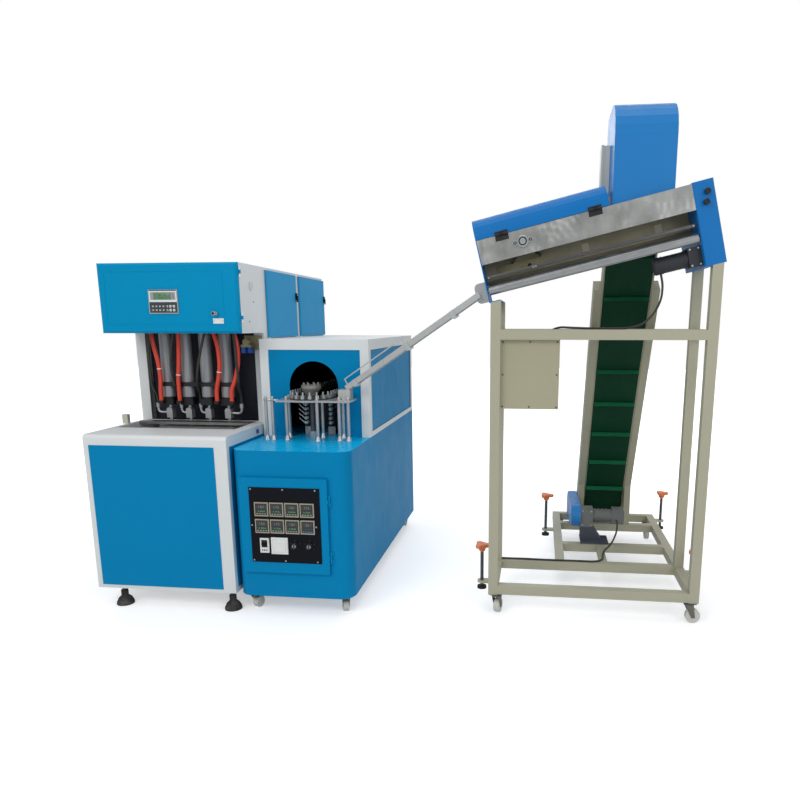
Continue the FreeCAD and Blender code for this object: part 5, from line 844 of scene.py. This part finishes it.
# ---------------------------------------------------------------- switches on the control plate
switch_black = finish("switch black", BLACK_PLASTIC)
breaker = [block("breaker_hood", (968, 1010), (-31.4, -29.6), (357, 428), 1.0, white_plastic, (2.5, -0.6)),
           block("breaker_well", (973, 1005), (-31.6, -30.4), (383, 423), 0.6, switch_black, (2.0, -0.5))]
for left in (975, 986, 997):
    breaker.append(block("breaker_mark", (left, left + 6), (-31.5, -30.4), (363, 372), 0.4, switch_black))
fit(joined("breaker_front", breaker), "panel_door")
rocker = [block("rocker_frame", (1026, 1113), (-27.4, -25.8), (348, 435), 1.0, white_plastic, (7.0, -0.8)),
          block("rocker_key", (1036, 1103), (-29.2, -26.4), (358, 425), 1.4, white_plastic, (14.0, -0.7))]
fit(joined("rocker_front", rocker), "panel_door")
for side, middle in (("left", 1152), ("right", 1232)):
    body = turned("knob_body", place(middle, -26.9, 396), NEAR_SIDE,
                  [(14.6, 0), (14.2, 1.2), (12.8, 11.0), (12.0, 12.0), (10.8, 12.0), (10.6, 11.4)],
                  switch_black, 32)
    cap = turned("knob_cap", place(middle, -38.2, 396), NEAR_SIDE,
                 [(10.7, 0), (10.7, 0.6), (10.1, 1.0), (3.0, 1.2)], finish("knob cap", GREY_ALUMINIUM), 32)
    fit(joined("knob_cover_" + side, [body, cap]), "selector_knob_" + side)
    ticks = []
    for step in range(5):
        turn = math.radians(225 - 67.5 * step)
        spot = place(middle, -21.0, 396) + Vector((0.0255 * math.cos(turn), 0.0, 0.0255 * math.sin(turn)))
        ticks.append((spot, (math.cos(turn), 0.0, math.sin(turn))))
    tick = upright("dial_tick", [(0.5, 0), (0.6, 0.4), (0.6, 3.0), (0.4, 3.4)], key_grey, 8)
    fit(spread(tick, "dial_ticks_" + side, ticks), "panel_door")
plate_spots = [(925, 308), (925, 695), (1098.5, 308), (1098.5, 695), (1272, 308), (1272, 695), (925, 500),
               (1272, 500)]
fit(spread(pan_screw("plate_screw", 4.6, steel_paint), "control_plate_screws",
           [(place(x, -21.0, z), NEAR_SIDE) for x, z in plate_spots]), "panel_door")

# ---------------------------------------------------------------- oven: lamp ends, post nuts
ceramic = finish("ceramic", CERAMIC)
lamp_ends = []
for level in range(5):
    lamp_z = 966 + 27 * level
    for x in (1048, 1196):
        lamp_ends.append(turned("lamp_cap", place(x, 537, lamp_z), NEAR_SIDE,
                                [(9.3, 0), (9.8, 1.5), (9.8, 8), (7.5, 11), (4.2, 13), (3.6, 18), (2.4, 19)],
                                ceramic, 20))
    lamp_ends.append(turned("lamp_sleeve", place(1046, 521, lamp_z), (-0.78, 0.12, 0.6),
                            [(4.0, -2), (4.6, 0), (3.6, 12), (3.0, 44), (2.2, 46)], ceramic, 12))
fit(joined("lamp_end_caps", lamp_ends), "line")
post_nut = upright("post_nut", [(13, -0.2), (13, 1.6), (9.5, 1.6), (9.5, 9), (8, 10.4), (6.4, 10.4),
                                (6.2, 14), (4.6, 17.4), (2.2, 18.8)], steel_paint, 6)
posts = ((883, 345), (921, 345), (999, 350), (980, 440), (1188, 318), (1177, 446), (1305, 345), (1300, 440),
         (1357, 345))
fit(spread(post_nut, "guide_post_nuts", [(place(x, y, 1122), (0, 0, 1)) for x, y in posts]), "line")

# ---------------------------------------------------------------- loader screws
terminal_spots = [(2222, 1124), (2222, 1448), (2357, 1124), (2357, 1448), (2493, 1124), (2493, 1448),
                  (2222, 1286), (2493, 1286)]
dark_paint = finish("dark screw", DARK_STEEL)
fit(spread(pan_screw("sheet_screw", 4.4, dark_paint), "terminal_screws",
           [(place(x, 150.0, z), NEAR_SIDE) for x, z in terminal_spots]), "line")

# ---------------------------------------------------------------- pieces square to the unscrambler
SLOPE = Matrix.Translation(place(*SLOPE_START)) @ Matrix.Rotation(-TILT, 4, "Y")
SLOPE_FRONT = SLOPE.to_3x3() @ NEAR_SIDE
SLOPE_UP = SLOPE.to_3x3() @ Vector((1.0, 0.0, 0.0))


def sloped(name, pieces):
    """Join pieces modelled in slope coordinates and carry them to their place."""
    piece = joined(name, pieces)
    piece.matrix_world = SLOPE
    hold(piece)
    bpy.ops.object.transform_apply(location=True, rotation=True, scale=True)
    return piece


def slope_block(name, s, y, n, bevel, paint, rim=None):
    return block(name, (s[0] + FOOT.x, s[1] + FOOT.x), (y[0] + FOOT.y, y[1] + FOOT.y), n, bevel, paint, rim)


def slope_spots(y, spots):
    return [(incline(s, y, n), SLOPE_FRONT) for s, n in spots]


black_paint = finish("black fittings", BLACK_ANODISED)
for number, start in ((1, 93.0), (2, 546.0)):
    low_leaf = [slope_block("leaf", (start + 4, start + 68), (120.6, 124.2), (273, 297.5), 1.4, black_paint,
                            (5.0, -0.5))]
    for left in (start + 6, start + 48):
        low_leaf.append(slope_block("knuckle", (left, left + 18), (116.6, 123.6), (296, 304), 2.4,
                                    black_paint))
    fit(sloped("hinge_low_%d" % number, low_leaf), "line")
    high_leaf = [slope_block("leaf", (start + 4, start + 68), (120.6, 124.2), (302.5, 317), 1.4, black_paint,
                             (5.0, -0.5)),
                 slope_block("knuckle", (start + 26, start + 46), (116.6, 123.6), (296, 304), 2.4,
                             black_paint)]
    fit(sloped("hinge_high_%d" % number, high_leaf), "unscrambler_cover")
FLANGE_S, FLANGE_N = 222.0, 244.0  # middle of the paddle shaft's flange
flange = [turned("flange_ring", incline(FLANGE_S, 116.2, FLANGE_N), SLOPE_FRONT,
                 [(27.5, 0), (27.5, 2.4), (25.5, 4.2), (20.5, 4.2), (19.5, 1.0)], steel_paint, 48),
          turned("flange_groove", incline(FLANGE_S, 116.3, FLANGE_N), SLOPE_FRONT,
                 [(19.8, 0), (19.8, 1.2), (15, 1.4)], black_paint, 40),
          turned("flange_cap", incline(FLANGE_S, 115.4, FLANGE_N), SLOPE_FRONT,
                 [(14.6, 0), (14.6, 3.2), (13.2, 4.4), (6, 4.4), (5, 3.6)], steel_paint, 36)]
for away in (-38, 38):
    flange.append(turned("flange_bolt", incline(FLANGE_S + away, 116.4, FLANGE_N), SLOPE_FRONT,
                         [(7.9, 0), (7.9, 4.4), (6.6, 5.4), (4.2, 5.4), (4.0, 3.0)], black_paint, 6))
fit(joined("paddle_flange_front", flange), "line")
bar_paint = finish("guide bar", DARK_STEEL)
guide_bar = [slope_block("bar", (6, 1029.5), (150, 158), (110, 126), 1.5, bar_paint, (3.0, 0.8)),
             slope_block("bar_joint", (236, 268), (146.5, 150.5), (107, 129), 1.0, bar_paint)]
for end in (22, 246, 258, 1012):
    guide_bar.append(turned("bar_bolt", place(end + FOOT.x, 150.4 + FOOT.y, 118), NEAR_SIDE,
                            [(5.5, 0), (5.5, 3.6), (4.6, 4.6), (2.6, 4.6), (2.4, 3.0)], steel_paint, 6))
fit(sloped("trough_guide_bar", guide_bar), "line")
wear_plate = [slope_block("wear_plate", (66, 288), (293.2, 296.2), (118, 172), 0.8,
                          finish("wear plate", WEAR_CREAM)),
              turned("wear_hole", place(232 + FOOT.x, 293.3 + FOOT.y, 140), NEAR_SIDE,
                     [(11, 0), (11, 0.5), (9, 0.6)], black_paint, 24)]
fit(sloped("trough_wear_plate", wear_plate), "line")
bolt_head = upright("bolt_head", [(13.4, -9), (13.4, 1), (12.2, 2.4), (8.6, 2.4), (8.2, 0.4)],
                    black_paint, 24)
fit(spread(bolt_head, "end_box_bolts", slope_spots(110, ((1078, 205), (1090, 250)))),
    "line")

# ---------------------------------------------------------------- hose ties
# each tie sits square to its hose, at the middle of the hose's own points just above and below it
tie_paint = finish("hose ties", WHITE_PLASTIC)
hose_points = [vertex.co for vertex in nodes["red_hoses"].data.vertices]
ties = []
for station, level in enumerate((1278, 1244, 1268, 1262)):
    level_z = mm(level)
    about_x = place(228 + 121 * station, 0, 0).x
    ring_points = [point for point in hose_points
                   if abs(point.z - level_z) < 0.03 and abs(point.x - about_x) < 0.06]
    above = [point for point in ring_points if point.z > level_z]
    below = [point for point in ring_points if point.z <= level_z]
    if not above or not below:
        continue
    top = sum(above, Vector()) / len(above)
    foot = sum(below, Vector()) / len(below)
    share = (level_z - foot.z) / (top.z - foot.z)
    ties.append(turned("hose_tie", foot.lerp(top, share), top - foot,
                       [(11, -3), (13.3, -3), (13.6, -2), (13.6, 2), (13.3, 3), (11, 3)], tie_paint, 24))
if ties:
    fit(joined("hose_ties", ties), "line")

# ---------------------------------------------------------------- jack knobs, head plug, lock
LOBE_RADIUS, LOBE_DROP = 0.0165, 0.019  # a knob's lobes, and how far under its top they start
orange = finish("orange knobs", ORANGE_PLASTIC)
for jack in JACKS:
    low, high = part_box(jack)
    centre = Vector((high.x - 0.038, (low.y + high.y) / 2, high.z))  # the solid's lobe reaches 38 mm
    lobes = [turned("knob_boss", centre + Vector((0, 0, -0.041)), (0, 0, 1),
                    [(12, 0), (16, 3), (22, 22), (30, 27), (30, 38), (26, 42), (12, 42), (10, 40.5)],
                    orange, 36)]
    # the outermost ones keep to the solids' size
    reach = min(0.0315, cad_bounds[1][0] - centre.x - LOBE_RADIUS)
    for lobe in range(3):
        turn = math.radians(120 * lobe)
        spot = centre + Vector((reach * math.cos(turn), reach * math.sin(turn), -LOBE_DROP))
        lobes.append(turned("knob_lobe", spot, (0, 0, 1),
                            [(10, 0), (15, 2.5), (16.5, 6), (16.5, 16), (15, 19), (11, 20.5), (6, 21)],
                            orange, 24))
    fit(joined("knob_" + jack, lobes), jack)
plug = [turned("plug_ring", place(801.9, 427, 1743), (1, 0, 0),
               [(24, 0), (24, 1.6), (22.5, 2.6), (19.5, 2.6), (18.5, 0.8)],
               finish("plug plastic", retint(WHITE_PLASTIC, 206, 210, 212)), 40)]
for y, z in ((454, 1657), (384, 1549)):
    plug.append(turned("head_screw", place(799.8, y, z), (1, 0, 0),
                       [(4.2, 0), (4.2, 1.2), (3.4, 2.2), (1.6, 2.4)], dark_paint, 12))
fit(joined("head_plug", plug), "line")
lock_low, lock_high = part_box("door_lock")
lock_face = Vector(((lock_low.x + lock_high.x) / 2, lock_low.y, place(671, 0, 1592).z))
keyhole = [turned("lock_ring", lock_face + Vector((0.0, 0.0004, 0.0)), NEAR_SIDE,
                  [(10.6, 0), (10.6, 1.6), (9.6, 2.4), (7.6, 2.4), (7.0, 1.0)], steel_paint, 32),
           turned("lock_barrel", lock_face + Vector((0.0, 0.0002, 0.0)), NEAR_SIDE,
                  [(7.2, 0), (7.2, 1.5), (6.6, 2.0), (3, 2.0)], black_paint, 28)]
fit(joined("lock_front", keyhole), "door_lock")

# ---------------------------------------------------------------- drives, oven front screws
motor_paint = finish("motor covers", MOTOR_GREY)
dark_motor_paint = finish("dark motor covers", MOTOR_DARK)
hexagon = upright("hex_bolt", [(6.2, -1), (6.2, 3.4), (5.4, 4.2), (2.0, 4.3)], steel_paint, 6)
drive_spots = [(place(x, 950.0, z), NEAR_SIDE) for x in (2704, 2758) for z in (270, 360)]
fit(spread(hexagon, "gearbox_bolts", drive_spots), "line")
cover = [block("motor_lid", (2893, 2957), (961, 1039), (365.4, 373), 2.0, motor_paint, (5.0, 0.8),
               Vector((0, 0, 1))),
         block("motor_end_plate", (2961.4, 2965.4), (962, 1038), (284, 360), 1.2, motor_paint, (6.0, -0.8),
               Vector((1, 0, 0))),
         spread(pan_screw("lid_screw", 3.4, steel_paint), "lid_screws",
                [(place(x, y, 373.4), (0, 0, 1)) for x in (2898, 2952) for y in (966, 1034)])]
for low_z in range(296, 356, 12):
    cover.append(block("vent", (2964.4, 2966.2), (972, 1028), (low_z, low_z + 5), 0.6, dark_motor_paint))
fit(joined("drive_motor_covers", cover), "line")
guard_spots = [(place(2632, y, z), (-1, 0, 0))
               for y, z in ((1000, 322), (1260, 286), (1500, 300), (1540, 200))]
fit(spread(pan_screw("guard_screw", 5.0, steel_paint), "guard_screws", guard_spots), "line")
bands = [turned("motor_band", incline(band_s, 205, -22), SLOPE_UP,
                [(38, -width), (41.6, -width), (42.2, 0), (41.6, width), (38, width)], dark_motor_paint, 40)
         for band_s, width in ((816, 6), (832, 2.5), (846, 2.5), (950, 7))]
gear_bolt = upright("gear_bolt", [(5.4, -1), (5.4, 3.0), (4.6, 3.8), (1.8, 3.9)], steel_paint, 6)
bands.append(spread(gear_bolt, "gear_bolts",
                    slope_spots(158, ((978, -60), (978, 16), (1018, -60), (1018, 16)))))
fit(joined("roller_motor_bands", bands), "line")
oven_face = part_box("oven_front")[0].y
oven_spots = [(Vector((place(x, 0, 0).x, oven_face, place(0, 0, z).z)), NEAR_SIDE)
              for z in (1361, 930) for x in (888, 1340)]
fit(spread(pan_screw("oven_screw", 4.2, dark_paint), "oven_front_screws", oven_spots), "line")
